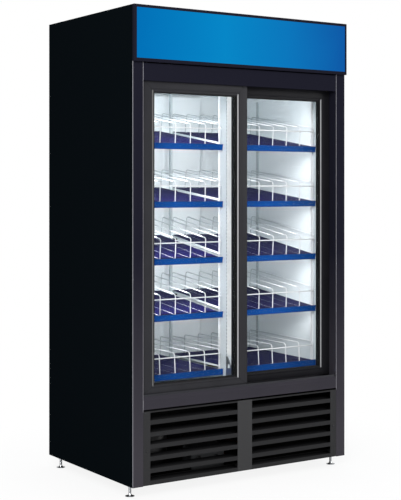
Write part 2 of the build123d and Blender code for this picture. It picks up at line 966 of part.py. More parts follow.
def fan(radius, x, y, z):
    """Fan wheel on the Y axis: a bored hub with two flats to a blade, and pitched blades with round tips."""
    root = fan_hub_radius - fan_blade_root
    blade = Pos((root + radius) / 2, 0) * Rectangle(radius - root, fan_blade_chord)
    blade &= Circle(radius)
    blade = Rot(fan_blade_pitch, 0, 0) * extrude(blade, fan_blade_sheet / 2, both=True)
    wheel = bar_y(0, 0, -fan_hub_depth / 2, fan_hub_depth / 2, fan_hub_radius, 2 * blade_count)
    for number in range(blade_count):
        wheel += Rot(0, number * 360 / blade_count, 0) * Rot(90, 0, 0) * blade
    wheel -= rod_y(0, 0, -radius, radius, shaft_radius + shaft_clearance)
    return Pos(x, y, z) * wheel


def fan_motor(x, fan_middle, z, foot_z):
    """Motor behind a fan, its shaft through the hub, on a plain pedestal."""
    y0 = fan_middle + fan_hub_depth / 2 + motor_gap
    motor = bar_y(x, z, y0, y0 + motor_length, motor_radius, motor_sides)
    motor += rod_y(x, z, fan_middle - fan_hub_depth / 2, y0, shaft_radius)
    middle = y0 + motor_length / 2
    foot = block(x - motor_foot_width / 2, x + motor_foot_width / 2, middle - motor_foot_length / 2,
                 middle + motor_foot_length / 2, foot_z, z)
    return motor + foot


def return_bend():
    """Tube that loops out of a coil's end plate and back."""
    reach = return_bend_reach
    outer = Polyline((0, return_bend_height), (reach, return_bend_height), (reach, 0), (0, 0))
    loop = folded(outer, 2 * tube_radius, Side.LEFT)
    bend = extrude(Plane.XZ * loop, tube_radius, both=True)
    return Pos(0, 0, -return_bend_height / 2) * bend


def finned_coil(x, y0, z0, width, depth, height):
    """Heat exchanger block, finned front and back, with end plates and return bends."""
    x0 = x - width / 2
    coil = block(x0, x0 + width, y0, y0 + depth, z0, z0 + height)
    count = int((width - 2 * coil_end_plate) / coil_fin_spacing)
    first = x - (count - 1) * coil_fin_spacing / 2
    for number in range(count):
        fin_gap = Pos(first + number * coil_fin_spacing, 0, 0)
        for y in (y0, y0 + depth):
            coil -= fin_gap * Pos(0, y, z0 + height / 2) * Box(coil_fin_gap, 2 * coil_fin_depth,
                                                               height - 2 * coil_end_plate)
    for row in range(return_bend_count):
        z = z0 + height * (row + 0.5) / return_bend_count
        coil += Pos(x0 + width, y0 + depth / 2, z) * return_bend()
    return coil


def condenser_coil():
    """Condenser behind the right half of the grille."""
    return finned_coil(coil_centre, front + coil_front, pan_top, coil_width, coil_depth, coil_height)


def fan_shroud():
    """Open-backed box that gathers the air from the coil into the fan's ring."""
    x0 = coil_centre - coil_width / 2
    shroud = block(x0, x0 + coil_width, shroud_front, shroud_front + shroud_depth, pan_top, pan_top + coil_height)
    inner = shroud_wall
    shroud -= block(x0 + inner, x0 + coil_width - inner, shroud_front, shroud_front + shroud_depth - inner,
                    pan_top + inner, pan_top + coil_height - inner)
    opening = condenser_fan_radius + fan_tip_clearance
    shroud -= rod_y(coil_centre, fan_z, shroud_front, shroud_front + shroud_depth, opening)
    return shroud


def compressor():
    """Welded compressor shell on a plate with rubber feet, with its terminal cover and two line stubs."""
    x, y = compressor_x, compressor_y
    plate_top = compressor_floor + compressor_plate
    plan = RegularPolygon(compressor_radius, compressor_sides)
    shell = Pos(x, y, plate_top) * extrude(plan, pan_top + compressor_height - plate_top)
    shell = chamfer(shell.faces().sort_by(Axis.Z)[-1].edges(), compressor_shoulder)
    shell += Pos(x, y, compressor_floor + compressor_plate / 2) * Box(2 * compressor_plate_reach,
                                                                     compressor_plate_depth, compressor_plate)
    mount = extrude(RegularPolygon(compressor_mount_radius, compressor_mount_sides), compressor_mount_height)
    for dx in (-compressor_radius, compressor_radius):
        for dy in (-compressor_mount_spacing / 2, compressor_mount_spacing / 2):
            shell += Pos(x + dx, y + dy, pan_top) * mount
    stub = extrude(RegularPolygon(line_stub_radius, line_sides), stub_end)
    shell += Pos(x, y, pan_top + discharge_height) * Rot(0, 90, 0) * stub
    shell += bar_y(x, pan_top + suction_height, y, y + stub_end, line_stub_radius, line_sides)
    cover_z = pan_top + discharge_height
    shell += block(x - terminal_cover_reach, x, y - terminal_cover_width / 2, y + terminal_cover_width / 2,
                   cover_z - terminal_cover_height / 2, cover_z + terminal_cover_height / 2)
    return shell


def tube(points):
    """Refrigerant line along straight runs whose corners are cut."""
    path = bent(points, line_bend)
    section = Plane(path @ 0, z_dir=path % 0) * RegularPolygon(line_radius, line_sides)
    return sweep(section, path=path, transition=Transition.RIGHT)


def refrigerant_lines():
    """Discharge, liquid and suction lines; the liquid line carries the filter drier."""
    coil_end = coil_centre - coil_width / 2
    coil_y = front + coil_front + coil_depth / 2
    turn_x = coil_end - line_clearance
    hot = pan_top + discharge_height
    discharge = tube([(compressor_x + stub_end, compressor_y, hot), (turn_x, compressor_y, hot),
                      (turn_x, coil_y, hot), (coil_end, coil_y, hot)])
    low = pan_top + liquid_height
    high = case_bottom + line_clearance
    turn_y = case_front - 2 * line_bend
    liquid = tube([(coil_end, coil_y, low), (turn_x, coil_y, low), (turn_x, turn_y, low),
                   (turn_x, turn_y, high), (turn_x, case_front, high)])
    drier = rod_y(turn_x, low, compressor_y - drier_length / 2, compressor_y + drier_length / 2, drier_radius)
    cold = pan_top + suction_height
    suction_x = turn_x - 2 * line_clearance
    return_y = case_front - 1.5 * line_bend
    suction = tube([(suction_x, case_front, cold), (suction_x, return_y, cold), (compressor_x, return_y, cold),
                    (compressor_x, compressor_y + stub_end, cold)])
    return [discharge, liquid + drier, suction]


def evaporator_case():
    """Insulated tub under the cabinet floor, with a bulkhead for the fan and a drain spigot."""
    reach = case_width / 2
    case = block(-reach, reach, case_front, case_front + case_depth, case_bottom, bay_top)
    inner = reach - case_wall
    case -= block(-inner, inner, case_front + case_wall, case_front + case_depth - case_wall,
                  evaporator_floor, bay_top)
    bulkhead_back = bulkhead_front + bulkhead_thickness
    bulkhead = block(-inner, inner, bulkhead_front, bulkhead_back, evaporator_floor, bay_top)
    opening = evaporator_fan_radius + fan_tip_clearance
    bulkhead -= rod_y(0, evaporator_fan_z, bulkhead_front, bulkhead_back, opening)
    spigot = rod_z(reach - spigot_inset, case_front + case_depth / 2, case_bottom - spigot_length, case_bottom,
                   spigot_radius)
    return case + bulkhead + spigot


def evaporator_coil():
    """Evaporator inside its case, ahead of the bulkhead."""
    y0 = case_front + case_wall + return_opening_depth
    return finned_coil(0, y0, evaporator_floor, evaporator_width, evaporator_depth, evaporator_height)


def condensate_pan():
    """Open tray on the machine pan, under the drain spigot."""
    tray = Box(tray_length, tray_depth, tray_height, align=(Align.CENTER, Align.CENTER, Align.MIN))
    tray = chamfer(tray.edges().filter_by(Axis.Z), tray_corner)
    tray = offset(tray, -tray_wall, openings=tray.faces().sort_by(Axis.Z)[-1])
    x = case_width / 2 - spigot_inset + tray_length / 4
    return Pos(x, case_front + case_depth / 2, pan_top) * tray


control_x = -grille_centre_bar - control_width / 2
control_front = front + control_setback
knob_x = control_x - control_spacing / 2
rocker_x = control_x + control_spacing / 2
control_z = pan_top + control_height / 2


def control_box():
    """Control housing with a spindle for the knob and a pocket for the lamp switch."""
    x0 = control_x - control_width / 2
    box = block(x0, x0 + control_width, control_front, control_front + control_depth, pan_top,
                pan_top + control_height)
    box = chamfer(box.edges().filter_by(Axis.Y), control_radius)
    box += rod_y(knob_x, control_z, control_front - spindle_length, control_front, shaft_radius)
    pocket = Box(rocker_width + 2 * rocker_gap, 2 * rocker_depth, rocker_height + 6 * rocker_gap)
    return box - Pos(rocker_x, control_front, control_z) * pocket


def thermostat_knob():
    """Twelve-sided knob with a raised grip across it, on the control spindle."""
    y1 = control_front - knob_gap
    y0 = y1 - knob_base
    knob = bar_y(knob_x, control_z, y0, y1, knob_radius, knob_sides)
    knob += block(knob_x - knob_grip_width / 2, knob_x + knob_grip_width / 2, y1 - knob_depth, y0,
                  control_z - knob_radius + knob_gap, control_z + knob_radius - knob_gap)
    bore_end = control_front - spindle_length - knob_gap
    return knob - rod_y(knob_x, control_z, bore_end, y1, shaft_radius + shaft_clearance)


def lamp_switch():
    """Rocker on a round pivot, tilted in its pocket as it is when switched on."""
    third = rocker_depth / 3
    profile = Polygon((-third, -rocker_height / 2), (-2 * third, 0), (-third, rocker_height / 2), align=None)
    profile += Circle(rocker_pivot_radius)
    rocker = along_x(profile, -rocker_width / 2, rocker_width / 2)
    return Pos(rocker_x, control_front, control_z) * Rot(rocker_tilt, 0, 0) * rocker


# Levelling feet


def levelling_foot(x, y):
    """Threaded stem on a flared disc, with a spanner collar under the nut."""
    foot = rod_z(0, 0, 0, base + boss_height + foot_stem_reach, foot_stem_radius)
    foot += extrude(RegularPolygon(foot_disc_radius, foot_disc_sides), foot_disc_height, taper=foot_disc_flare)
    collar = extrude(RegularPolygon(foot_collar_radius, 6), foot_collar_height)
    foot += Pos(0, 0, base - foot_collar_drop - foot_collar_height) * collar
    return Pos(x, y, 0) * foot


# Export

parts = {
    "left_side_panel": side_panel(),
    "right_side_panel": mirror(side_panel(), Plane.YZ),
    "back_panel": back_panel(),
    "rear_vent_cover": rear_vent_cover(),
    "top_panel": top_panel(),
    "base_pan": base_pan(),
    "insulation": insulation(),
    "inner_liner": inner_liner(),
    "air_duct_cover": air_duct_cover(),
    "header_panel": header_panel(),
    "sill_rail": sill_rail(),
    "door_jambs": door_jambs(),
    "top_track": top_track(),
    "bottom_track": bottom_track(),
    "lower_grille": lower_grille(),
    "grille_screws": grille_screws(),
    "sign_box": sign_box(),
    "sign_face": sign_face(),
    "sign_lamps": sign_lamps(),
    "centre_post": centre_post(),
    "post_lamps": post_lamps(),
    "post_brackets": post_brackets(),
    "shelf_standards": shelf_standards(),
    "shelf_clips": all_clips(),
    "left_shelf_racks": on_shelves(shelf_rack(), [-1]),
    "right_shelf_racks": on_shelves(shelf_rack(), [1]),
    "lane_mats": on_shelves(lane_mats(), [-1, 1]),
    "price_strips": on_shelves([price_strip()], [-1, 1]),
    "compressor": compressor(),
    "condenser_coil": condenser_coil(),
    "fan_shroud": fan_shroud(),
    "condenser_fan_motor": fan_motor(coil_centre, fan_y, fan_z, pan_top),
    "condenser_fan": fan(condenser_fan_radius, coil_centre, fan_y, fan_z),
    "evaporator_case": evaporator_case(),
    "evaporator_coil": evaporator_coil(),
    "evaporator_fan_motor": fan_motor(0, evaporator_fan_y, evaporator_fan_z, evaporator_floor),
    "evaporator_fan": fan(evaporator_fan_radius, 0, evaporator_fan_y, evaporator_fan_z),
    "refrigerant_lines": refrigerant_lines(),
    "condensate_pan": condensate_pan(),
    "control_box": control_box(),
    "thermostat_knob": thermostat_knob(),
    "lamp_switch": lamp_switch(),
}

for name, (foot_x, foot_y) in foot_places().items():
    parts["foot_" + name] = levelling_foot(foot_x, foot_y)

for name, side in (("left_door", -1), ("right_door", 1)):
    parts[name + "_frame"] = door_frame(side)
    parts[name + "_glass"] = door_glass(side)
    parts[name + "_seal"] = door_seal(side)
    parts[name + "_hangers"] = door_hangers(side)
    parts[name + "_guides"] = door_guides(side)
    parts[name + "_outer_roller"] = door_roller(side, 0 if side < 0 else 1)
    parts[name + "_inner_roller"] = door_roller(side, 1 if side < 0 else 0)

os.makedirs("parts", exist_ok=True)
for name, piece in parts.items():
    shape = Compound(children=piece) if isinstance(piece, list) else piece
    export_step(shape, "parts/" + name + ".step")
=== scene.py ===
import math
import bpy
from mathutils import Matrix, Vector


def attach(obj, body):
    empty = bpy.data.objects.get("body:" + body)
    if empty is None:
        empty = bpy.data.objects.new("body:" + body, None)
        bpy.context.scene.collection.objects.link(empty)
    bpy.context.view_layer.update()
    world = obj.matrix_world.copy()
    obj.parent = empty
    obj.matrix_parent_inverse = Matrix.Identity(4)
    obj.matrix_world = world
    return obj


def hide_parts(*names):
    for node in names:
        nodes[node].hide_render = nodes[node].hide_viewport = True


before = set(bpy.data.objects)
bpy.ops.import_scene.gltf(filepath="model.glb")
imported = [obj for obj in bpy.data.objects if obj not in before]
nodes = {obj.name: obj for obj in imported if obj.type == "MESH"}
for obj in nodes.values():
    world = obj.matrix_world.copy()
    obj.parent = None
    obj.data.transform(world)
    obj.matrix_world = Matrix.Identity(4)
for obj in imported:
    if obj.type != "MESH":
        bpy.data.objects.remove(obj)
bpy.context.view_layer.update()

mm = 0.001


# Camera, floor and studio light

view = {
    "place": (-3.107, -4.722, 1.287),
    "turn": 33.48,             # degrees to the right of straight ahead
    "lens": 87.458,
    "shiftY": -0.1214,
}
studio = {
    "floorSize": 60,
    "floorGlow": (0.88, 1),     # how much of the floor is plain white in view, by the cabinet and far from it
    "glowReach": (0.02, 0.9),
    "footprint": (0.57, 0.385),   # half the cabinet's width and depth
    "worldFill": 0.55,
    "lamps": {                  # place, target, size and power
        "keyLamp": ((-3.6, -4.2, 3.4), (0, 0, 1.1), (2.6, 2.6), 300),
        "fillLamp": ((3.8, -3.2, 2.2), (0, 0, 0.9), (2.4, 3), 90),
        "topLamp": ((0, 0.4, 4.6), (0, 0, 1), (3, 3), 70),
    },
    "insideLamps": {            # even light on the shelves of each column
        "leftInsideLamp": ((-0.27, -0.205, 1.18), (-0.27, 0.3, 1.18), (0.44, 1.1), 13.5),
        "rightInsideLamp": ((0.27, -0.205, 1.18), (0.27, 0.3, 1.18), (0.44, 1.1), 4.2),
    },
}


def rgb(r, g, b):              # screen colour, 0 to 255, as the linear colour of a shader
    linear = [c / 255 / 12.92 if c < 10.3 else ((c / 255 + 0.055) / 1.055) ** 2.4 for c in (r, g, b)]
    return (*linear, 1)


cameraData = bpy.data.cameras.new("photoCamera")
cameraData.lens = view["lens"]
cameraData.sensor_width = 36
cameraData.shift_y = view["shiftY"]
cameraData.clip_end = 200
camera = bpy.data.objects.new("photoCamera", cameraData)
camera.location = view["place"]
camera.rotation_euler = (math.pi / 2, 0, -math.radians(view["turn"]))
bpy.context.collection.objects.link(camera)
bpy.context.scene.camera = camera
bpy.context.scene.view_settings.view_transform = "Standard"


def softLamp(name, place, target, size, power):
    data = bpy.data.lights.new(name, "AREA")
    data.shape = "RECTANGLE"
    data.size, data.size_y = size
    data.energy = power
    lamp = bpy.data.objects.new(name, data)
    lamp.location = place
    lamp.rotation_euler = (Vector(target) - Vector(place)).to_track_quat("-Z", "Y").to_euler()
    bpy.context.collection.objects.link(lamp)
    return lamp


for lampName, lampSettings in studio["lamps"].items():
    softLamp(lampName, *lampSettings)
for lampName, lampSettings in studio["insideLamps"].items():
    insideLamp = softLamp(lampName, *lampSettings)
    insideLamp.visible_camera = insideLamp.visible_glossy = False


# Shader helpers

class ShaderValue:             # a socket that adds Math nodes when it is used in an expression
    def __init__(self, maker, socket):
        self.maker = maker
        self.socket = socket

    def maths(self, operation, *others):
        return self.maker.node("ShaderNodeMath", {"operation": operation}, dict(enumerate((self, *others))))

    def __add__(self, other):
        return self.maths("ADD", other)

    def __sub__(self, other):
        return self.maths("SUBTRACT", other)

    def __rsub__(self, other):
        return self.maker.node("ShaderNodeMath", {"operation": "SUBTRACT"}, {0: other, 1: self})

    def __mul__(self, other):
        return self.maths("MULTIPLY", other)

    def __gt__(self, other):
        return self.maths("GREATER_THAN", other)

    def __lt__(self, other):
        return self.maths("LESS_THAN", other)

    __radd__ = __add__
    __rmul__ = __mul__


class NodeMaker:               # makes and links the nodes of a material or of the world
    def __init__(self, tree):
        self.tree = tree

    def node(self, kind, settings={}, values={}, out=0):
        made = self.tree.nodes.new(kind)
        for key, value in settings.items():
            if key == "stops":
                while len(made.color_ramp.elements) < len(value):
                    made.color_ramp.elements.new(1)
                for stop, (position, colour) in zip(made.color_ramp.elements, value):
                    stop.position, stop.color = position, colour
            else:
                setattr(made, key, value)
        for key, value in values.items():
            self.feed(made.inputs[key], value)
        return ShaderValue(self, made.outputs[out])

    def feed(self, socket, value):
        if isinstance(value, ShaderValue):
            self.tree.links.new(value.socket, socket)
        else:
            socket.default_value = value


class Finish(NodeMaker):       # one material and its patterns
    def __init__(self, name, **constants):
        self.material = bpy.data.materials.new(name)
        self.material.use_nodes = True
        super().__init__(self.material.node_tree)
        self.shader = self.tree.nodes["Principled BSDF"]
        self.place = self.node("ShaderNodeTexCoord", out="Object")
        for socket, value in constants.items():
            self.shader.inputs[socket.replace("_", " ")].default_value = value

    def axis(self, letter):
        return self.node("ShaderNodeSeparateXYZ", {}, {0: self.place}, out=letter)

    def noise(self, scale, detail=2.0, stretch=(1, 1, 1)):
        place = self.node("ShaderNodeMapping", {}, {"Vector": self.place, "Scale": stretch})
        return self.node("ShaderNodeTexNoise", {}, {"Vector": place, "Scale": scale, "Detail": detail})

    def cells(self, scale, out="Distance"):
        return self.node("ShaderNodeTexVoronoi", {}, {"Vector": self.place, "Scale": scale}, out=out)

    def ramp(self, value, *stops):
        return self.node("ShaderNodeValToRGB", {"stops": stops}, {0: value})

    def fade(self, value, low, high, toLow=0.0, toHigh=1.0):
        return self.node("ShaderNodeMapRange", {"clamp": True}, {0: value, 1: low, 2: high, 3: toLow, 4: toHigh})

    def blend(self, factor, colourA, colourB):
        return self.node("ShaderNodeMix", {"data_type": "RGBA"}, {0: factor, 6: colourA, 7: colourB}, out=2)

    def bump(self, height, depth, strength):
        raised = self.node("ShaderNodeBump", {}, {"Height": height, "Distance": depth, "Strength": strength})
        self.feed(self.shader.inputs["Normal"], raised)

    def wear(self, colour, roughness, **others):
        sockets = {"colour": "Base Color", "roughness": "Roughness", "alpha": "Alpha", "glow": "Emission Color"}
        for key, value in {"colour": colour, "roughness": roughness, **others}.items():
            self.feed(self.shader.inputs[sockets[key]], value)
        return self.material


# World and floor

world = bpy.data.worlds.new("paleStudio")
world.use_nodes = True
bpy.context.scene.world = world
worldMaker = NodeMaker(world.node_tree)
sky = world.node_tree.nodes["Background"].inputs
inView = worldMaker.node("ShaderNodeLightPath", out="Is Camera Ray")
throughGlass = worldMaker.node("ShaderNodeLightPath", out="Is Transmission Ray")
skyRange = {"Value": inView.maths("MAXIMUM", throughGlass), "To Min": studio["worldFill"], "To Max": 1}
worldMaker.feed(sky["Color"], (1, 1, 1, 1))
worldMaker.feed(sky["Strength"], worldMaker.node("ShaderNodeMapRange", {}, skyRange))

bpy.ops.object.select_all(action="DESELECT")
bpy.ops.mesh.primitive_plane_add(size=studio["floorSize"], location=(0, 0, 0))
floor = bpy.context.object
floor.name = "studioFloor"
bpy.ops.object.transform_apply(location=True, rotation=True, scale=True)
floorFinish = Finish("paleFloor")
floorFinish.wear(floorFinish.blend(floorFinish.noise(3), rgb(232, 233, 235), rgb(238, 239, 240)), 0.6)
halfWidth, halfDepth = studio["footprint"]
awayX = floorFinish.axis("X").maths("ABSOLUTE") - halfWidth
awayY = floorFinish.axis("Y").maths("ABSOLUTE") - halfDepth
floorGlow = floorFinish.fade(awayX.maths("MAXIMUM", awayY), *studio["glowReach"], *studio["floorGlow"])
floorGlow = floorGlow * floorFinish.node("ShaderNodeLightPath", out="Is Camera Ray")
plainFloor = ShaderValue(floorFinish, floorFinish.shader.outputs[0])
whiteFloor = floorFinish.node("ShaderNodeEmission", {}, {"Color": (1, 1, 1, 1)})
floorMix = floorFinish.node("ShaderNodeMixShader", {}, {0: floorGlow, 1: plainFloor, 2: whiteFloor})
floorFinish.feed(floorFinish.tree.nodes["Material Output"].inputs[0], floorMix)
floor.data.materials.append(floorFinish.material)
print("camera, lamps and floor")


# Finishes

casePaint = {                  # places of its patterns, in metres
    "front": -0.3765,          # the front faces lie before this
    "shadedFlank": 0.56,             # the flanks, in painted shade, lie outside this
    "bounceLightPaling": (1.1, 0.25),     # heights between which painted floor-bounce light pales the front
    "outerHighlight": (-0.5695, 0.0016),   # place and half width of the painted highlight line on the left edge
    # place and half width of the painted highlight lines on the inner corners
    "innerHighlights": (0.5195, 0.0012),
    "highlightsTop": 1.818,
    "innerHighlightsBottom": 0.36,
}
louvrePaint = {
    "paintedFalloff": (0.03, 0.5),  # painted light, fading from the middle outwards
    "banks": (0.0385, 0.485),  # the slots' inner and outer ends
    # painted shade deepens between these depths in the slots
    "depth": (-0.3768, -0.36),
}
doorPaints = {
    "left": {"shade": 34, "beadHighlight": 84, "edges": (-0.516, 0.022)},
    # the right door's lower shade is painted shade: the same paint as the left door
    "right": {"shade": 18, "beadHighlight": 60, "edges": (-0.022, 0.516)},
    "ends": (0.428, 1.753),
    "rail": 0.055,
    "bottomRail": 0.037,
    "mitreLine": 0.0007,
    "bead": (0.0078, 0.0012, 0.006),   # where the painted highlight lies: the bead's two sides and its end, from the rail's inner edge
}
# the post's inside, which wears painted shade
postHollow = {
    "half": 0.0122,
    "front": -0.2982,
    "back": -0.2078,
}


def blackPaint(colour, floorBounceLit, shadedFlank):   # painted floor-bounce light pales the front face downwards, and painted shade keeps the flanks near black
    case = casePaint
    paint = Finish("blackCasePaint", Specular_IOR_Level=0)
    x, z = paint.axis("X"), paint.axis("Z")
    across = x.maths("ABSOLUTE")
    blotches = paint.noise(4, 4)
    # painted floor-bounce light: the front pales towards the bottom
    low = paint.fade(z + 0.2 * blotches, *case["bounceLightPaling"])
    front = paint.axis("Y") < case["front"]
    # painted shade: the flanks take the darker shadedFlank colour
    face = front.maths("MAXIMUM", across < case["shadedFlank"])
    base = paint.blend(face, shadedFlank, paint.blend(low, colour, floorBounceLit))
    # painted highlights along the front's left edge and inner corners
    (outer, outerHalf), (inner, innerHalf) = case["outerHighlight"], case["innerHighlights"]
    outerHighlight = (x - outer).maths("ABSOLUTE") < outerHalf
    innerHighlights = ((across - inner).maths("ABSOLUTE") < innerHalf) * (z > case["innerHighlightsBottom"])
    lines = outerHighlight.maths("MAXIMUM", innerHighlights) * (z < case["highlightsTop"]) * front
    paint.bump(paint.noise(700, 3), 0.0002, 0.25)
    # the highlights are painted light grey over the base
    return paint.wear(paint.blend(lines, base, rgb(120, 119, 124)), paint.fade(blotches, 0.3, 0.7, 0.34, 0.46))


def grillePaint():             # painted light makes it palest on its centre bar; painted shade darkens the slot banks and deepens with depth in the slots
    inner, outer = louvrePaint["banks"]
    paint = Finish("grillePaint", Specular_IOR_Level=0.05)
    speckle = paint.noise(700, 2)
    across = paint.axis("X").maths("ABSOLUTE")
    # painted light falling off from the centre bar
    plate = paint.blend(paint.fade(across, *louvrePaint["paintedFalloff"]), rgb(53, 53, 54), rgb(42, 42, 43))
    # painted shade over the slotted banks
    plate = paint.blend((across > inner) * (across < outer), plate, rgb(37, 37, 38))
    # painted shade, darker with depth in the slots
    depth = paint.fade(paint.axis("Y"), *louvrePaint["depth"])
    paint.bump(speckle, 0.0001, 0.4)
    return paint.wear(paint.blend(depth, plate, rgb(6, 6, 7)), paint.fade(speckle, 0.3, 0.7, 0.4, 0.5))


def plainPlastic(name, colour, worn, roughness, grain=900, gloss=0.5):
    plastic = Finish(name, Specular_IOR_Level=gloss)
    blotches = plastic.noise(9, 4)
    plastic.bump(plastic.noise(grain, 2), 0.0001, 0.4)
    return plastic.wear(plastic.blend(blotches, rgb(*colour), rgb(*worn)),
                        plastic.fade(blotches, 0.3, 0.7, roughness, roughness + 0.1))


def doorPaint(doorName):       # painted highlights on the beads of a door's stiles, dark mitre lines
    doors, door = doorPaints, doorPaints[doorName]
    shade, beadHighlight, rail = door["shade"], door["beadHighlight"], doors["rail"]
    (x0, x1), (z0, z1) = door["edges"], doors["ends"]
    paint = Finish(doorName + "DoorPaint", Specular_IOR_Level=0.06)
    x, z = paint.axis("X"), paint.axis("Z")
    side = (x - x0).maths("MINIMUM", x1 - x)
    end = (z1 - z).maths("MINIMUM", (z - z0) * (rail / doors["bottomRail"]))
    mitre = ((side - end).maths("ABSOLUTE") < doors["mitreLine"]) * (side < rail)
    outer, inner, tip = doors["bead"]
    bead = (side > rail - outer) * (side < rail - inner) * (end > rail - tip)
    blotches = paint.noise(9, 4)
    # each door's paint grey, darker on the right door as painted shade
    base = paint.blend(blotches, rgb(shade, shade, shade + 3), rgb(shade + 10, shade + 10, shade + 13))
    beadHighlightGrey = rgb(beadHighlight, beadHighlight, beadHighlight)
    # painted highlight on the bead, brightening towards the door's right edge
    base = paint.blend(bead, base, paint.blend(paint.fade(x, x0 + 0.1, x1 - 0.1), beadHighlightGrey, rgb(150, 151, 153)))
    paint.bump(paint.noise(800, 2), 0.0001, 0.4)
    return paint.wear(paint.blend(mitre, base, rgb(10, 10, 11)), paint.fade(blotches, 0.3, 0.7, 0.34, 0.44))


def postPaint():               # white outside, with painted shade inside its hollow
    paint = Finish("postPaint")
    across, y = paint.axis("X").maths("ABSOLUTE"), paint.axis("Y")
    hollow = (across < postHollow["half"]) * (y > postHollow["front"]) * (y < postHollow["back"])
    blotches = paint.noise(9, 4)
    white = paint.blend(blotches, rgb(226, 234, 237), rgb(219, 229, 233))
    # painted shade rgb(40, 44, 48) inside the hollow
    return paint.wear(paint.blend(hollow, white, rgb(40, 44, 48)), paint.fade(blotches, 0.3, 0.7, 0.38, 0.48))


def wireCoat():                # white at the front, greyer in the shade at the back
    coat = Finish("whiteWireCoat")
    speckle = coat.noise(600, 2)
    back = coat.fade(coat.axis("Y") + 0.004 * speckle, -0.2, 0.1)
    coat.bump(speckle, 0.0001, 0.4)
    white = coat.blend(back, rgb(238, 241, 243), rgb(176, 188, 192))
    return coat.wear(white, coat.fade(speckle, 0.3, 0.7, 0.3, 0.4))


def brushedMetal(name, colour, worn, roughness, stretch=(1, 60, 60)):
    metal = Finish(name, Metallic=1.0)
    lines = metal.noise(14, 5, stretch)
    metal.bump(lines, 0.0001, 0.2)
    return metal.wear(metal.blend(lines, rgb(*colour), rgb(*worn)),
                      metal.fade(lines, 0.3, 0.7, roughness, roughness + 0.12))


def galvanisedSheet():
    sheet = Finish("galvanisedSheet", Metallic=0.9)
    spangle = sheet.node("ShaderNodeSeparateColor", {}, {0: sheet.cells(55, "Color")})
    colour = sheet.ramp(spangle, (0, rgb(150, 154, 158)), (1, rgb(190, 194, 198)))
    return sheet.wear(colour, sheet.fade(spangle, 0, 1, 0.38, 0.55))


def pressedFoam():
    foam = Finish("pouredFoam")
    pores = foam.cells(260)
    foam.bump(pores, 0.0008, 0.6)
    poured = foam.blend(foam.noise(12, 5), rgb(206, 186, 132), rgb(186, 164, 108))
    shadedUnderside = foam.axis("Z") < 0.43   # painted shade: black under the foam over the machine bay
    return foam.wear(foam.blend(shadedUnderside, poured, rgb(22, 22, 23)), 0.95)


def clearGlass():
    glass = Finish("doorGlass", IOR=1.5)
    film = glass.noise(6, 5)
    return glass.wear(glass.blend(film, rgb(40, 52, 52), rgb(60, 72, 72)), glass.fade(film, 0.3, 0.7, 0.02, 0.05),
                      alpha=glass.fade(film, 0.35, 0.75, 0.012, 0.02))


def litSign():
    sign = Finish("blueSign", Specular_IOR_Level=0.01, Emission_Strength=0.95)
    across = sign.fade(sign.axis("X"), -0.56, 0.56)
    cloud = sign.noise(2.2, 2)
    blue = sign.ramp(across, (0, rgb(0, 112, 184)), (0.4, rgb(3, 136, 201)), (0.7, rgb(2, 119, 190)),
                     (1, rgb(1, 86, 167)))
    blue = sign.blend(sign.fade(cloud, 0.4, 0.8, 0, 0.18), blue, rgb(0, 140, 214))
    return sign.wear(rgb(0, 10, 20), 0.25, glow=blue)


def litLamp(name, colour, strength):
    lamp = Finish(name, Emission_Strength=strength)
    return lamp.wear(rgb(52, 56, 60), 0.3, glow=lamp.blend(lamp.noise(30), colour, rgb(255, 255, 255)))


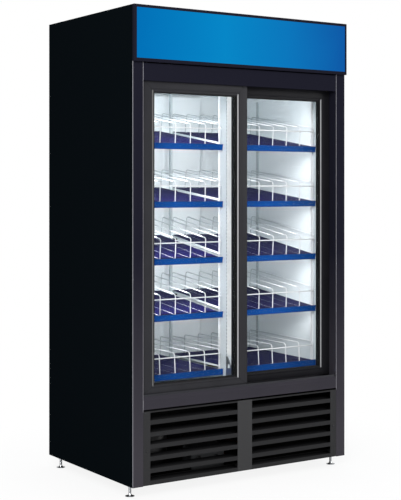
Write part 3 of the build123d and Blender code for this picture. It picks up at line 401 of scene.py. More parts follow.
coverings = (                  # each finish, and the nodes of the frame that wear it
    # front paint, its painted floor-bounce paling, and the flanks' painted shade
    (blackPaint(rgb(24, 24, 33), rgb(55, 53, 58), rgb(7, 11, 14)),
     "left_side_panel right_side_panel top_panel header_panel sill_rail door_jambs sign_box"),
    (galvanisedSheet(), "back_panel rear_vent_cover"),
    (plainPlastic("whiteLiner", (226, 234, 237), (219, 229, 233), 0.38, 500),
     "inner_liner air_duct_cover centre_post"),
    (postPaint(), ""),
    (wireCoat(), "left_shelf_racks right_shelf_racks shelf_standards"),
    (pressedFoam(), "insulation"),
    (doorPaint("left"), "left_door_frame"),
    (doorPaint("right"), "right_door_frame"),
    (grillePaint(), "lower_grille"),
    # painted shade: the bay's pan, shroud and evaporator case near black so the bay looks dark
    (plainPlastic("bayShadeBlack", (16, 16, 17), (24, 24, 25), 0.5, 500, gloss=0.1),
     "base_pan condensate_pan fan_shroud evaporator_case"),
    (clearGlass(), "left_door_glass right_door_glass"),
    (plainPlastic("sealRubber", (10, 10, 11), (16, 16, 17), 0.7, 700, gloss=0.2), "left_door_seal right_door_seal"),
    (brushedMetal("blackTrack", (42, 42, 46), (66, 66, 70), 0.35), "top_track bottom_track"),
    (brushedMetal("zincSteel", (176, 178, 176), (198, 199, 196), 0.32, (40, 40, 4)),
     "left_door_hangers right_door_hangers post_brackets"),
    (plainPlastic("nylonWheel", (222, 220, 210), (210, 207, 195), 0.42),
     "left_door_guides right_door_guides left_door_outer_roller left_door_inner_roller "
     "right_door_outer_roller right_door_inner_roller"),
    (litSign(), "sign_face"),
    (litLamp("lampLens", rgb(214, 222, 224), 0.8), "sign_lamps post_lamps"),
    (plainPlastic("navyMat", (22, 19, 80), (17, 14, 66), 0.42, gloss=0.1), "lane_mats"),
    (plainPlastic("stripBlue", (20, 76, 152), (16, 70, 144), 0.3, gloss=0.02), "price_strips"),
    (brushedMetal("darkScrew", (40, 40, 42), (64, 64, 66), 0.35), "grille_screws"),
    (plainPlastic("compressorEnamel", (16, 16, 17), (24, 24, 25), 0.3, 300), "compressor"),
    (brushedMetal("finAluminium", (190, 192, 194), (206, 208, 209), 0.4, (120, 1, 1)), "evaporator_coil"),
    # painted shade: the condenser's aluminium fins near black in the dark bay
    (brushedMetal("shadeDarkCoil", (26, 26, 26), (36, 35, 33), 0.7, (120, 1, 1)), "condenser_coil"),
    (brushedMetal("copperTube", (120, 72, 50), (92, 54, 38), 0.35, (8, 8, 8)), "refrigerant_lines"),
    (plainPlastic("fanPlastic", (34, 36, 38), (44, 46, 48), 0.45), "condenser_fan evaporator_fan"),
    (brushedMetal("motorGrey", (44, 45, 47), (60, 61, 63), 0.5, (10, 10, 10)),
     "condenser_fan_motor evaporator_fan_motor"),
    (plainPlastic("controlGrey", (58, 59, 61), (50, 51, 53), 0.48, gloss=0.2), "control_box"),
    (plainPlastic("knobBlack", (22, 22, 24), (30, 30, 32), 0.4), "thermostat_knob"),
    (plainPlastic("switchBlack", (16, 16, 18), (24, 24, 26), 0.28), "lamp_switch shelf_clips"),
    (brushedMetal("footChrome", (196, 198, 200), (222, 224, 226), 0.14, (6, 6, 6)),
     "foot_front_left foot_front_right foot_rear_left foot_rear_right"),
)
finishes = {}
for finish, nodeNames in coverings:
    finishes[finish.name] = finish
    for nodeName in nodeNames.split():
        target = nodes[nodeName]
        if not target.material_slots:
            target.data.materials.append(None)
        for slot in target.material_slots:
            slot.material = finish
print("finishes on", len(nodes), "nodes")


# Modelling helpers: everything is drawn in millimetres, then settled in metres

def deselect():
    bpy.ops.object.select_all(action="DESELECT")


def only(piece):
    deselect()
    piece.select_set(True)
    bpy.context.view_layer.objects.active = piece


def named(name):
    piece = bpy.context.object
    piece.name = piece.data.name = name
    return piece


def settle(piece, matrix=None):
    if matrix:
        piece.matrix_world = matrix @ piece.matrix_world
    only(piece)
    bpy.ops.object.transform_apply(location=True, rotation=True, scale=True)
    return piece


def startBox(name, x0, x1, y0, y1, z0, z1):
    deselect()
    bpy.ops.mesh.primitive_cube_add(size=1, location=((x0 + x1) / 2, (y0 + y1) / 2, (z0 + z1) / 2),
                                    scale=(abs(x1 - x0), abs(y1 - y0), abs(z1 - z0)))
    return settle(named(name))


def startSheet(name, middle, width, height, rotation=(0, 0, 0)):
    deselect()
    bpy.ops.mesh.primitive_plane_add(size=1, location=middle, rotation=rotation)
    sheet = named(name)
    sheet.scale = (width, height, 1)
    bpy.context.view_layer.update()
    return settle(sheet)


def copied(piece, name, matrix):
    twin = piece.copy()
    twin.data = piece.data.copy()
    twin.name = twin.data.name = name
    bpy.context.collection.objects.link(twin)
    return settle(twin, matrix)


def joined(pieces, name):
    only(pieces[0])
    for piece in pieces:
        piece.select_set(True)
    if len(pieces) > 1:
        bpy.ops.object.join()
    return named(name)


def dropped(piece):
    bpy.data.objects.remove(piece)


def openEdit(piece, kind="FACE", everything=False):
    only(piece)
    bpy.ops.object.mode_set(mode="EDIT")
    bpy.ops.mesh.select_mode(type=kind)
    bpy.ops.mesh.select_all(action="SELECT" if everything else "DESELECT")


def pickFaces(piece, wanted):   # opens edit mode with the faces whose centre and normal are wanted
    openEdit(piece)
    bpy.ops.object.mode_set(mode="OBJECT")
    for face in piece.data.polygons:
        face.select = wanted(face.center, face.normal)
    bpy.ops.object.mode_set(mode="EDIT")


def pickEdges(piece, wanted):   # opens edit mode with the edges whose two ends are wanted
    openEdit(piece, "EDGE")
    bpy.ops.object.mode_set(mode="OBJECT")
    points = piece.data.vertices
    for edge in piece.data.edges:
        edge.select = wanted(points[edge.vertices[0]].co, points[edge.vertices[1]].co)
    bpy.ops.object.mode_set(mode="EDIT")


def smoothed(piece, angle):
    only(piece)
    bpy.ops.object.shade_smooth_by_angle(angle=math.radians(angle))
    return piece


def closeEdit(piece, recalculate=False, smooth=None):
    if recalculate:
        bpy.ops.mesh.select_all(action="SELECT")
        bpy.ops.mesh.remove_doubles(threshold=0.001)
        bpy.ops.mesh.normals_make_consistent(inside=False)
    bpy.ops.object.mode_set(mode="OBJECT")
    return smoothed(piece, smooth) if smooth else piece


def mirrored(piece, name, matrix=Matrix()):   # a copy over the cabinet's middle, with its faces turned out again
    twin = copied(piece, name, matrix @ Matrix.Scale(-1, 4, (1, 0, 0)))
    openEdit(twin, everything=True)
    bpy.ops.mesh.normals_make_consistent(inside=False)
    return closeEdit(twin)


def insetBy(thickness):
    bpy.ops.mesh.inset(thickness=thickness, use_even_offset=True)


def push(x=0.0, y=0.0, z=0.0):
    bpy.ops.transform.translate(value=(x, y, z))


def extrudeBy(x=0.0, y=0.0, z=0.0):
    bpy.ops.mesh.extrude_region_move(TRANSFORM_OT_translate={"value": (x, y, z)})


def drawnOut(piece, wanted, x=0.0, y=0.0, z=0.0):   # edges grow into new faces
    pickEdges(piece, wanted)
    extrudeBy(x, y, z)
    return closeEdit(piece)


def bevelled(piece, wanted, width, segments, smooth=None):
    pickEdges(piece, wanted)
    bpy.ops.mesh.bevel(offset=width, segments=segments)
    return closeEdit(piece, smooth=smooth)


def cutAcross(piece, *cuts):   # planes that cut the whole piece, by point and normal
    openEdit(piece, everything=True)
    for point, normal in cuts:
        bpy.ops.mesh.select_all(action="SELECT")
        bpy.ops.mesh.bisect(plane_co=point, plane_no=normal)
    return closeEdit(piece)


def modified(piece, kind, **settings):
    only(piece)
    change = piece.modifiers.new("change", kind)
    for key, value in settings.items():
        setattr(change, key, value)
    bpy.ops.object.modifier_apply(modifier=change.name)
    return piece


def repeated(piece, count, x=0.0, y=0.0, z=0.0, merge=False):
    return modified(piece, "ARRAY", count=count, use_relative_offset=False, use_constant_offset=True,
                    constant_offset_displace=(x, y, z), use_merge_vertices=merge, merge_threshold=0.01)


def bentWire(name, start, facing, radius, moves, sides=10, steps=4, closed=False):
    heading, point = Vector(facing).normalized(), Vector(start)
    deselect()
    bpy.ops.mesh.primitive_circle_add(vertices=sides, radius=radius, fill_type="NGON", location=point,
                                      rotation=heading.to_track_quat("Z", "Y").to_euler())
    piece = settle(named(name))
    openEdit(piece, everything=True)
    for length, angle, bendRadius, axis in moves:
        if length:
            extrudeBy(*(heading * length))
            point = point + heading * length
        if angle:
            centre = point + Vector(axis).cross(heading) * math.copysign(bendRadius, angle)
            bpy.ops.mesh.spin(steps=steps, angle=-math.radians(angle), center=centre, axis=axis)
            turn = Matrix.Rotation(math.radians(angle), 3, axis)
            point, heading = centre + turn @ (point - centre), turn @ heading
    if closed:                 # both end caps go, and the ends are joined
        bpy.ops.mesh.delete(type="FACE")
        bpy.ops.object.mode_set(mode="OBJECT")
        pickFaces(piece, lambda centre, normal: (centre - Vector(start)).length < 0.01)
        bpy.ops.mesh.delete(type="FACE")
    return closeEdit(piece, recalculate=True, smooth=40)


def rod(name, start, facing, radius, length, sides=10):
    return bentWire(name, start, facing, radius, [(length, 0, 0, None)], sides)


def softBox(name, x0, x1, y0, y1, z0, z1, edge, segments=2, smooth=40):
    return bevelled(startBox(name, x0, x1, y0, y1, z0, z1), lambda a, b: True, edge, segments, smooth)


def turned(name, profile, sides, smooth):   # a solid of revolution on Z, from radii and heights
    radius, level = profile[0]
    deselect()
    bpy.ops.mesh.primitive_circle_add(vertices=sides, radius=radius, fill_type="NGON", location=(0, 0, level))
    piece = settle(named(name))
    openEdit(piece, everything=True)
    for nextRadius, nextLevel in profile[1:]:
        extrudeBy(z=nextLevel - level)
        ratio = nextRadius / radius
        bpy.ops.transform.resize(value=(ratio, ratio, 1), center_override=(0, 0, nextLevel))
        radius, level = nextRadius, nextLevel
    return closeEdit(piece, recalculate=True, smooth=smooth)


def faceBack(piece, x, y, z):   # a piece turned on Z is laid along Y
    return settle(piece, Matrix.Translation((x, y, z)) @ Matrix.Rotation(-math.pi / 2, 4, "X"))


def finished(piece, finish, slot, *replaces, body="cabinet"):
    piece.data.materials.clear()
    piece.data.materials.append(finishes[finish])
    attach(piece, body)
    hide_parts(*replaces)
    return piece


toMetres = Matrix.Scale(mm, 4)


# Wire shelves and lane mats

wireShelves = {
    "heights": (1440, 1184, 935, 690, 433),   # front of each shelf above the cabinet's base
    "rises": (79, 64, 84, 60, 7),   # from its front to its rear
    "length": 508,
    "column": 266,             # middle of each column of shelves, from the cabinet's middle
    "front": -226,
    "base": 50,
    "lanes": 6,
    "pitch": 78.5,
    "frameWire": 2.5,          # all wires by their radius
    "frameBend": 12,
    "frameLevel": -8,          # below the mats' top
    "crossWires": 7,
    "crossWire": 2,
    "dividerWire": 2.25,
    "dividerTop": 86,
    "dividerLean": 5,
    "dividerBend": 12,
    "laneWire": 2,
    "fenceWire": 2.75,
    "fenceHeight": 73.5,
}
laneMats = {
    "width": 68.5,
    "slot": 3,
    "front": 5,
    "length": 498,
    "bottom": -5.5,
    "top": -1.2,
    "ribHeight": 1.2,
    "ribs": 6,                 # on each side of the slot
    "ribPart": (0.25, 0.75),   # of its pitch
}


def onShelf(level, side):
    shelf = wireShelves
    tilt = math.atan2(shelf["rises"][level], shelf["length"])
    place = Matrix.Translation((side * shelf["column"], shelf["front"], shelf["base"] + shelf["heights"][level]))
    return toMetres @ place @ Matrix.Rotation(tilt, 4, "X")


def dividerHoop(x):
    shelf = wireShelves
    lean, bend, low = math.radians(shelf["dividerLean"]), shelf["dividerBend"], shelf["frameLevel"]
    rise = shelf["dividerTop"] - low
    cut = bend * math.tan((math.pi / 2 - lean) / 2)
    leg = rise / math.cos(lean) - cut
    run = shelf["length"] - rise * math.tan(lean) - cut - bend
    return bentWire("hoop", (x, 0, low), (0, math.sin(lean), math.cos(lean)), shelf["dividerWire"],
                    [(leg, shelf["dividerLean"] - 90, bend, (1, 0, 0)), (run, -90, bend, (1, 0, 0)),
                     (rise - bend, 0, 0, None)], 8, 3)


def shelfRack():
    shelf = wireShelves
    half, low = shelf["lanes"] * shelf["pitch"] / 2, shelf["frameLevel"]
    bend, wire, length = shelf["frameBend"], shelf["frameWire"], shelf["length"]
    laneWire, fenceWire = shelf["laneWire"], shelf["fenceWire"]
    across, back = 2 * (half - bend), length - 2 * bend
    up = (0, 0, 1)
    wires = [bentWire("frameLoop", (bend - half, 0, low), (1, 0, 0), wire,
                      [(across, 90, bend, up), (back, 90, bend, up), (across, 90, bend, up), (back, 90, bend, up)],
                      closed=True)]
    for number in range(shelf["crossWires"]):
        y = length * (number + 1) / (shelf["crossWires"] + 1)
        wires.append(rod("crossWire", (-half, y, low), (1, 0, 0), shelf["crossWire"], 2 * half, 8))
    for number in range(shelf["lanes"] + 1):
        x = number * shelf["pitch"] - half
        wires.append(dividerHoop(x))
        wires.append(rod("laneWire", (x, 0, low + wire + laneWire), (0, 1, 0), laneWire, length, 8))
    lean = Matrix.Rotation(-math.radians(shelf["dividerLean"]), 4, "X")
    end = Vector((-half - wire, -shelf["dividerWire"] - fenceWire, shelf["fenceHeight"]))
    start = Matrix.Translation((0, 0, laneMats["bottom"])) @ lean @ end
    wires.append(rod("fence", start, (1, 0, 0), fenceWire, 2 * (half + wire)))
    return joined(wires, "shelfRack")


def laneMat():
    mat = laneMats
    ribPitch = (mat["width"] - mat["slot"]) / 2 / mat["ribs"]
    rib = startBox("matRib", 0, ribPitch, mat["front"], mat["front"] + mat["length"], mat["bottom"], mat["top"])
    cutAcross(rib, *(((part * ribPitch, 0, 0), (1, 0, 0)) for part in mat["ribPart"]))
    pickFaces(rib, lambda centre, normal: normal.z > 0.5 and abs(centre.x - ribPitch / 2) < ribPitch / 4)
    extrudeBy(z=mat["ribHeight"])
    closeEdit(rib)
    pickFaces(rib, lambda centre, normal: abs(normal.x) > 0.5 and min(centre.x, ribPitch - centre.x) < 0.01)
    bpy.ops.mesh.delete(type="FACE")
    closeEdit(rib)
    repeated(rib, mat["ribs"], x=ribPitch, merge=True)
    openEdit(rib, "EDGE", everything=True)
    bpy.ops.mesh.fill_holes(sides=0)
    closeEdit(rib, recalculate=True)
    halves = [copied(rib, "laneHalf", Matrix.Translation((x, 0, 0)))
              for x in (-mat["width"] / 2, mat["slot"] / 2)]
    dropped(rib)
    return joined(halves, "laneMat")


rack, mat = shelfRack(), laneMat()
laneStart = -(wireShelves["lanes"] - 1) / 2 * wireShelves["pitch"]
mats = []
for sideName, side in (("left", -1), ("right", 1)):
    racks = []
    for level in range(len(wireShelves["heights"])):
        racks.append(copied(rack, "rack", onShelf(level, side)))
        for lane in range(wireShelves["lanes"]):
            shift = Matrix.Translation((laneStart + lane * wireShelves["pitch"], 0, 0))
            mats.append(copied(mat, "laneMat", onShelf(level, side) @ shift))
    finished(joined(racks, sideName + "WireShelves"), "whiteWireCoat", "white_wire", sideName + "_shelf_racks")
finished(joined(mats, "navyLaneMats"), "navyMat", "mat_navy", "lane_mats")
dropped(rack)
dropped(mat)
print("wire shelves and lane mats")


# Slotted standards, centre post and its lamps

slotting = {
    "pitch": 15.875,
    "width": 4,
    "height": 9,
    "margin": 2,               # between a slot's first outline and its cell
    "sheet": 1.5,
}
standards = {
    "width": 16,
    "depth": 5,
    "wall": 519,               # inner face of the side walls
    "frontY": -199,
    "rearY": 236,
    "bottom": 468,
    "top": 1725,
}
centrePost = {
    "half": 13,
    "front": -299,
    "back": -207,
    "bottom": 443,
    "top": 1750,
    "slotY": -255,
}
lampLens = {
    "back": -263,
    "proud": 2.5,
    "bottom": 544,
    "top": 1740,
    "beadPitch": 9.6,
    "beadRadius": 3.4,
    "beadProud": 1.6,
    "beadSunk": 1.2,
    "crown": (2.2, 0.8),       # width and height of the sloping rim
}


def slottedSheet(name, y0, y1, z0, z1, slotY):   # a sheet in the YZ plane with a column of slots
    count = round((z1 - z0) / slotting["pitch"])
    pitch, margin = (z1 - z0) / count, slotting["margin"]
    middle = (0, (y0 + y1) / 2, z0 + pitch / 2)
    sheet = startSheet(name, middle, pitch, y1 - y0, (0, math.pi / 2, 0))
    openEdit(sheet, everything=True)
    insetBy(margin)
    across, along = slotting["width"] / (y1 - y0 - 2 * margin), slotting["height"] / (pitch - 2 * margin)
    bpy.ops.transform.resize(value=(1, across, along), center_override=middle)
    push(y=slotY - middle[1])
    bpy.ops.mesh.delete(type="FACE")
    closeEdit(sheet)
    return repeated(sheet, count, z=pitch, merge=True)


def standardStrip(name, x, toward, y, z0, z1):
    half = standards["width"] / 2
    strip = slottedSheet(name, -half, half, z0, z1, 0)
    pickEdges(strip, lambda a, b: abs(a.y) > half - 0.01 and abs(b.y) > half - 0.01 and a.y * b.y > 0)
    extrudeBy(x=-standards["depth"])
    closeEdit(strip, recalculate=True)
    modified(strip, "SOLIDIFY", thickness=slotting["sheet"], offset=-1, use_even_offset=True)
    turn = Matrix.Rotation(0 if toward > 0 else math.pi, 4, "Z")
    return settle(strip, toMetres @ Matrix.Translation((x, y, 0)) @ turn)


def postBody():
    post = centrePost
    body = slottedSheet("post", post["front"], post["back"], post["bottom"], post["top"], post["slotY"])
    settle(body, Matrix.Translation((-post["half"], 0, 0)))
    for y in (post["front"], post["back"]):
        drawnOut(body, lambda a, b: abs(a.y - y) < 0.01 and abs(b.y - y) < 0.01 and max(a.x, b.x) < -1,
                 x=post["half"])
    modified(body, "MIRROR", use_axis=(True, False, False), merge_threshold=0.01)
    openEdit(body, everything=True)
    closeEdit(body, recalculate=True)
    modified(body, "SOLIDIFY", thickness=slotting["sheet"], offset=-1, use_even_offset=True)
    return settle(body, toMetres)


def lensStrip():
    lens, post = lampLens, centrePost
    y0, y1 = post["front"], lens["back"]
    radius, middle, face = (y1 - y0) / 2, (y0 + y1) / 2, -post["half"]
    rim, rise = lens["crown"]
    deselect()
    bpy.ops.mesh.primitive_circle_add(vertices=32, radius=radius, fill_type="NGON", rotation=(0, -math.pi / 2, 0),
                                      location=(face, middle, lens["bottom"] + radius))
    strip = settle(named("lens"))
    openEdit(strip, everything=True)
    bpy.ops.mesh.bisect(plane_co=(0, 0, lens["bottom"] + radius), plane_no=(0, 0, 1), clear_outer=True)
    closeEdit(strip)
    pickEdges(strip, lambda a, b: min(a.z, b.z) > lens["bottom"] + radius - 0.01)
    extrudeBy(z=lens["top"] - lens["bottom"] - radius)
    bpy.ops.mesh.select_all(action="SELECT")
    bpy.ops.mesh.select_mode(type="FACE")
    bpy.ops.mesh.normals_make_consistent(inside=False)
    extrudeBy(x=rise - lens["proud"])
    insetBy(rim)
    push(x=-rise)
    closeEdit(strip, recalculate=True, smooth=35)
    beadY = y0 + lens["beadRadius"] - lens["beadProud"]
    deselect()
    bpy.ops.mesh.primitive_uv_sphere_add(segments=10, ring_count=6, radius=lens["beadRadius"],
                                         location=(face + lens["beadSunk"], beadY, lens["bottom"] + radius))
    bead = settle(named("bead"))
    bpy.ops.object.shade_smooth()
    count = int((lens["top"] - lens["bottom"] - radius) / lens["beadPitch"])
    repeated(bead, count, z=lens["beadPitch"])
    return joined([strip, bead], "lens")


strips = []
frontY, rearY = standards["frontY"], standards["rearY"]
for toward in (-1, 1):         # two on a side wall, one behind the post and one in the middle of the rear
    wallFace = toward * (standards["depth"] - standards["wall"])
    for x, y in ((wallFace, frontY), (wallFace, rearY), (toward * centrePost["half"], frontY)):
        strips.append(standardStrip("strip", x, toward, y, standards["bottom"], standards["top"]))
    strips.append(standardStrip("strip", toward * standards["depth"], toward, rearY, centrePost["bottom"],
                                centrePost["top"]))
finished(joined(strips, "slottedStandards"), "whiteWireCoat", "white_wire", "shelf_standards")
finished(postBody(), "postPaint", "white_liner", "centre_post")
lens = lensStrip()
lenses = [copied(lens, "lensLeft", toMetres), mirrored(lens, "lensRight", toMetres)]
dropped(lens)
finished(joined(lenses, "postLampLenses"), "lampLens", "lamp_white", "post_lamps")
print("standards, post and lamps")


# Sliding door frames: mitred rings with a groove and a rounded bead, which carries a painted highlight

doorFrames = {
    "left": (-516, 22, -365),  # left edge, right edge and front face
    "right": (-22, 516, -331),
    "bottom": 428,
    "top": 1753,
    "depth": 26,
    "rail": 55,                # width up to the seal
    "bottomRail": 37,
    "edge": 1.2,
    "flat": 40.8,              # before the groove
    "steps": ((1, 1.2), (3, 0), (1, -1.2),   # the groove, then the bead, as steps inwards and back
              (1.2, -0.8), (1.6, -0.35), (2.4, 0), (1.6, 0.35), (1.2, 0.8)),
}
doorBumper = {                 # soft stop at the top corner where the two doors meet
    "fromSide": 8,
    "fromTop": 6,
    "width": 18,
    "height": 14,
    "proud": 1.5,
    "edge": 1.2,
}


def doorFrame(name):
    door = doorFrames
    x0, x1, y0 = door[name]
    middle, low, centreLevel = (x0 + x1) / 2, door["bottom"] + door["rail"], (door["bottom"] + door["top"]) / 2
    body = startBox(name + "Frame", x0, x1, y0, y0 + door["depth"], door["bottom"], door["top"])
    bevelled(body, lambda a, b: max(a.y, b.y) < y0 + 0.01, door["edge"], 2)
    for y, facing, width in ((y0, -1, door["flat"]), (y0 + door["depth"], 1, door["rail"])):
        pickFaces(body, lambda centre, normal: normal.y * facing > 0.99)
        insetBy(width)
        closeEdit(body)
        pickEdges(body, lambda a, b: abs(a.y - y) < 0.01 and abs(b.y - y) < 0.01
                  and door["bottom"] + 20 < min(a.z, b.z) <= max(a.z, b.z) < low + 5)
        push(z=door["bottomRail"] - door["rail"])
        closeEdit(body)
    for facing, steps in ((-1, door["steps"]), (1, ())):   # the faces over the glass go
        pickFaces(body, lambda centre, normal: normal.y * facing > 0.9 and abs(centre.x - middle) < 1
                  and abs(centre.z - centreLevel) < 60)
        for thickness, rise in steps:
            insetBy(thickness)
            push(y=rise)
        bpy.ops.mesh.delete(type="FACE")
        closeEdit(body)
    openEdit(body, "EDGE")
    bpy.ops.mesh.select_non_manifold(extend=False)
    bpy.ops.mesh.bridge_edge_loops()
    return closeEdit(body, recalculate=True, smooth=32)


def bumperModel(name):
    stop = doorBumper
    _, x1, y0 = doorFrames[name]
    x, z = x1 - stop["fromSide"], doorFrames["top"] - stop["fromTop"]
    return softBox("bumper", x - stop["width"], x, y0 - stop["proud"], y0, z - stop["height"], z, stop["edge"])


for doorName in ("left", "right"):
    pieces = [doorFrame(doorName)]
    if doorName == "left":
        pieces.append(bumperModel(doorName))
    frameSet = settle(joined(pieces, doorName + "DoorFrame"), toMetres)
    finished(frameSet, doorName + "DoorPaint", "door_black", doorName + "_door_frame", body=doorName + "_door")
print("door frames")


# Louvred grille over the machine bay, and its screws

louvres = {
    "front": -378,
    "depth": 18,
    "half": 519,
    "bottom": 51,
    "top": 360,
    "bankStart": 38.5,
    "bankEnd": 485,
    "slotBottom": 69,
    "slotHeight": 32.7,
    "spacing": 50.5,
    "count": 6,
    "cellBottom": 57,
    "cellMargin": 14,
    "cellInset": 3,
    "slotCorner": 4,
    "slotRim": 2.5,
    "edge": 2,
    "sheet": 1.2,
    "bladeRun": ((7, 1.2), (6, 3.2), (5, 3.8), (3.4, 3.8)),   # back and up, from the slot's lower edge
    "bladeSheet": 1.6,
    "bladeCorner": 11,
    "bladeOverlap": 2,         # past each end of a slot
    "bladeBehind": 1.5,        # the front face
    "bladeBelow": 1,           # the slot's lower edge
}
panHead = {
    "sides": 18,
    "steps": ((0, 0.28), (0.2, 0.16), (0.26, 0.06), (0.22, 0), (0.04, -0.22)),   # parts of the radius
    "radius": 4.5,
    "places": ((-502, -378, 193), (502, -378, 193)),
}


def grillePlate():
    g = louvres
    x0, x1 = g["bankStart"] - g["cellMargin"], g["bankEnd"] + g["cellMargin"]
    z0, z1 = g["cellBottom"], g["cellBottom"] + g["spacing"]
    slotX, slotZ = (g["bankStart"] + g["bankEnd"]) / 2, g["slotBottom"] + g["slotHeight"] / 2
    middle, inset = ((x0 + x1) / 2, g["front"], (z0 + z1) / 2), g["cellInset"]
    plate = startSheet("grillePlate", middle, x1 - x0, z1 - z0, (math.pi / 2, 0, 0))
    openEdit(plate, everything=True)
    insetBy(inset)
    bpy.ops.transform.resize(value=((g["bankEnd"] - g["bankStart"]) / (x1 - x0 - 2 * inset), 1,
                                    g["slotHeight"] / (z1 - z0 - 2 * inset)), center_override=middle)
    push(x=slotX - middle[0], z=slotZ - middle[2])
    closeEdit(plate)
    pickFaces(plate, lambda centre, normal: (centre - Vector((slotX, g["front"], slotZ))).length < 1)
    bpy.ops.mesh.bevel(offset=g["slotCorner"], segments=3, affect="VERTICES")
    closeEdit(plate)
    pickFaces(plate, lambda centre, normal: (centre - Vector((slotX, g["front"], slotZ))).length < 1)
    extrudeBy(y=g["slotRim"])
    bpy.ops.mesh.delete(type="FACE")
    closeEdit(plate)
    repeated(plate, g["count"], z=g["spacing"], merge=True)
    for side, target in ((x0, 0), (x1, g["half"])):
        drawnOut(plate, lambda a, b: abs(a.x - side) < 0.01 and abs(b.x - side) < 0.01, x=target - side)
    drawnOut(plate, lambda a, b: max(a.z, b.z) < z0 + 0.01, z=g["bottom"] - z0)
    modified(plate, "MIRROR", use_axis=(True, False, False), merge_threshold=0.01)

    def onRim(a, b):
        ends = ((a.x, g["half"]), (a.x, -g["half"]), (a.z, g["bottom"]), (a.z, g["top"]))
        others = ((b.x, g["half"]), (b.x, -g["half"]), (b.z, g["bottom"]), (b.z, g["top"]))
        return any(abs(p - e) < 0.01 and abs(q - f) < 0.01 for (p, e), (q, f) in zip(ends, others))

    drawnOut(plate, onRim, y=g["depth"])
    pickEdges(plate, lambda a, b: onRim(a, b) and max(a.y, b.y) < g["front"] + 0.01)
    bpy.ops.mesh.bevel(offset=g["edge"], segments=3)
    closeEdit(plate, recalculate=True)
    return modified(plate, "SOLIDIFY", thickness=g["sheet"], offset=-1, use_even_offset=True)


def grilleBlades():
    g = louvres
    x0, x1 = g["bankStart"] - g["bladeOverlap"], g["bankEnd"] + g["bladeOverlap"]
    y, z = g["front"] + g["bladeBehind"], g["slotBottom"] - g["bladeBelow"]
    (run, rise), *rest = g["bladeRun"]
    blade = startSheet("blade", ((x0 + x1) / 2, y + run / 2, z), x1 - x0, run)
    pickEdges(blade, lambda a, b: min(a.y, b.y) > y + run - 0.01)
    push(z=rise)
    closeEdit(blade)
    for run, rise in rest:
        edge = max(point.co.y for point in blade.data.vertices)
        drawnOut(blade, lambda a, b: min(a.y, b.y) > edge - 0.01, y=run, z=rise)
    edge = max(point.co.y for point in blade.data.vertices)
    pickEdges(blade, lambda a, b: min(a.y, b.y) > edge - 0.01)
    bpy.ops.mesh.bevel(offset=g["bladeCorner"], segments=4, affect="VERTICES")
    closeEdit(blade, smooth=60)
    modified(blade, "SOLIDIFY", thickness=g["bladeSheet"], offset=-1)
    repeated(blade, g["count"], z=g["spacing"])
    return [blade, mirrored(blade, "blade")]


def panScrew():                # a head of radius 1 that faces the front
    deselect()
    bpy.ops.mesh.primitive_circle_add(vertices=panHead["sides"], radius=1, fill_type="NGON",
                                      rotation=(math.pi / 2, 0, 0))
    head = settle(named("panHead"))
    openEdit(head, everything=True)
    for thickness, rise in panHead["steps"]:
        if thickness:
            insetBy(thickness)
            push(y=-rise)
        else:
            extrudeBy(y=-rise)
    return closeEdit(head, recalculate=True, smooth=50)


grilleSet = settle(joined([grillePlate()] + grilleBlades(), "louvredGrille"), toMetres)
finished(grilleSet, "grillePaint", "black_paint", "lower_grille")
screwHead = panScrew()
screwHeads = [copied(screwHead, "screw", toMetres @ Matrix.Translation(place) @ Matrix.Scale(panHead["radius"], 4))
              for place in panHead["places"]]
dropped(screwHead)
finished(joined(screwHeads, "grilleScrewHeads"), "darkScrew", "screw_steel", "grille_screws")
print("grille and its screws")


# Levelling feet

levellingFoot = {
    "profile": ((20, 0), (20, 1.4), (17.5, 2.2), (12.5, 3.6), (8.4, 6), (6.6, 9.5), (5.4, 12)),
    "threadPitch": 2,
    "threadRoot": 5.3,
    "threadCrest": 5.95,
    "threadTop": 69,
    "threadFlank": (0.35, 0.6),   # where the crest starts and ends, in parts of the pitch
    "collar": (9.8, 38, 46),
    "collarEdge": 0.8,
    "places": {"front_left": (-543, -308), "front_right": (543, -308),
               "rear_left": (-543, 327), "rear_right": (543, 327)},
}


def footModel():
    foot = levellingFoot
    profile = list(foot["profile"])
    level, pitch, crest = profile[-1][1], foot["threadPitch"], foot["threadCrest"]
    while level + pitch < foot["threadTop"]:
        profile += [(crest, level + part * pitch) for part in foot["threadFlank"]]
        profile.append((foot["threadRoot"], level + pitch))
        level += pitch
    stem = turned("stem", profile, 28, 30)
    (wide, z0, z1), edge = foot["collar"], foot["collarEdge"]
    collar = turned("collar", ((wide - edge, z0), (wide, z0 + edge), (wide, z1 - edge), (wide - edge, z1)), 6, 20)
    return joined([stem, collar], "foot")


foot = footModel()
for placeName, (x, y) in levellingFoot["places"].items():
    bodyName = "foot_" + placeName
    piece = copied(foot, "chromeFoot." + placeName, toMetres @ Matrix.Translation((x, y, 0)))
    finished(piece, "footChrome", "chrome", bodyName, body=bodyName)
dropped(foot)
print("feet")


# Condenser and evaporator: fins, end plates and tubes

coils = {
    "condenser": {"x": (77, 507), "y": (-334, -290), "z": (52, 288), "hairpins": 6},
    "evaporator": {"x": (-240, 240), "y": (126, 196), "z": (126, 316), "hairpins": 5},
    "finPitch": 4,
    "finSheet": 0.5,
    "finMargin": (2, 0.5, 1),  # inside the end plates' faces and edges
    "endPlate": 2.5,
    "endPlateEdge": 0.6,
    "tube": 4.2,
    "tubeInset": 0.5,          # of a tube's end in its plate
    "tubeColumns": (0.28, 0.72),
    "bendRadius": 9,
    "bendStart": 4,            # straight tube beyond the end plate
}


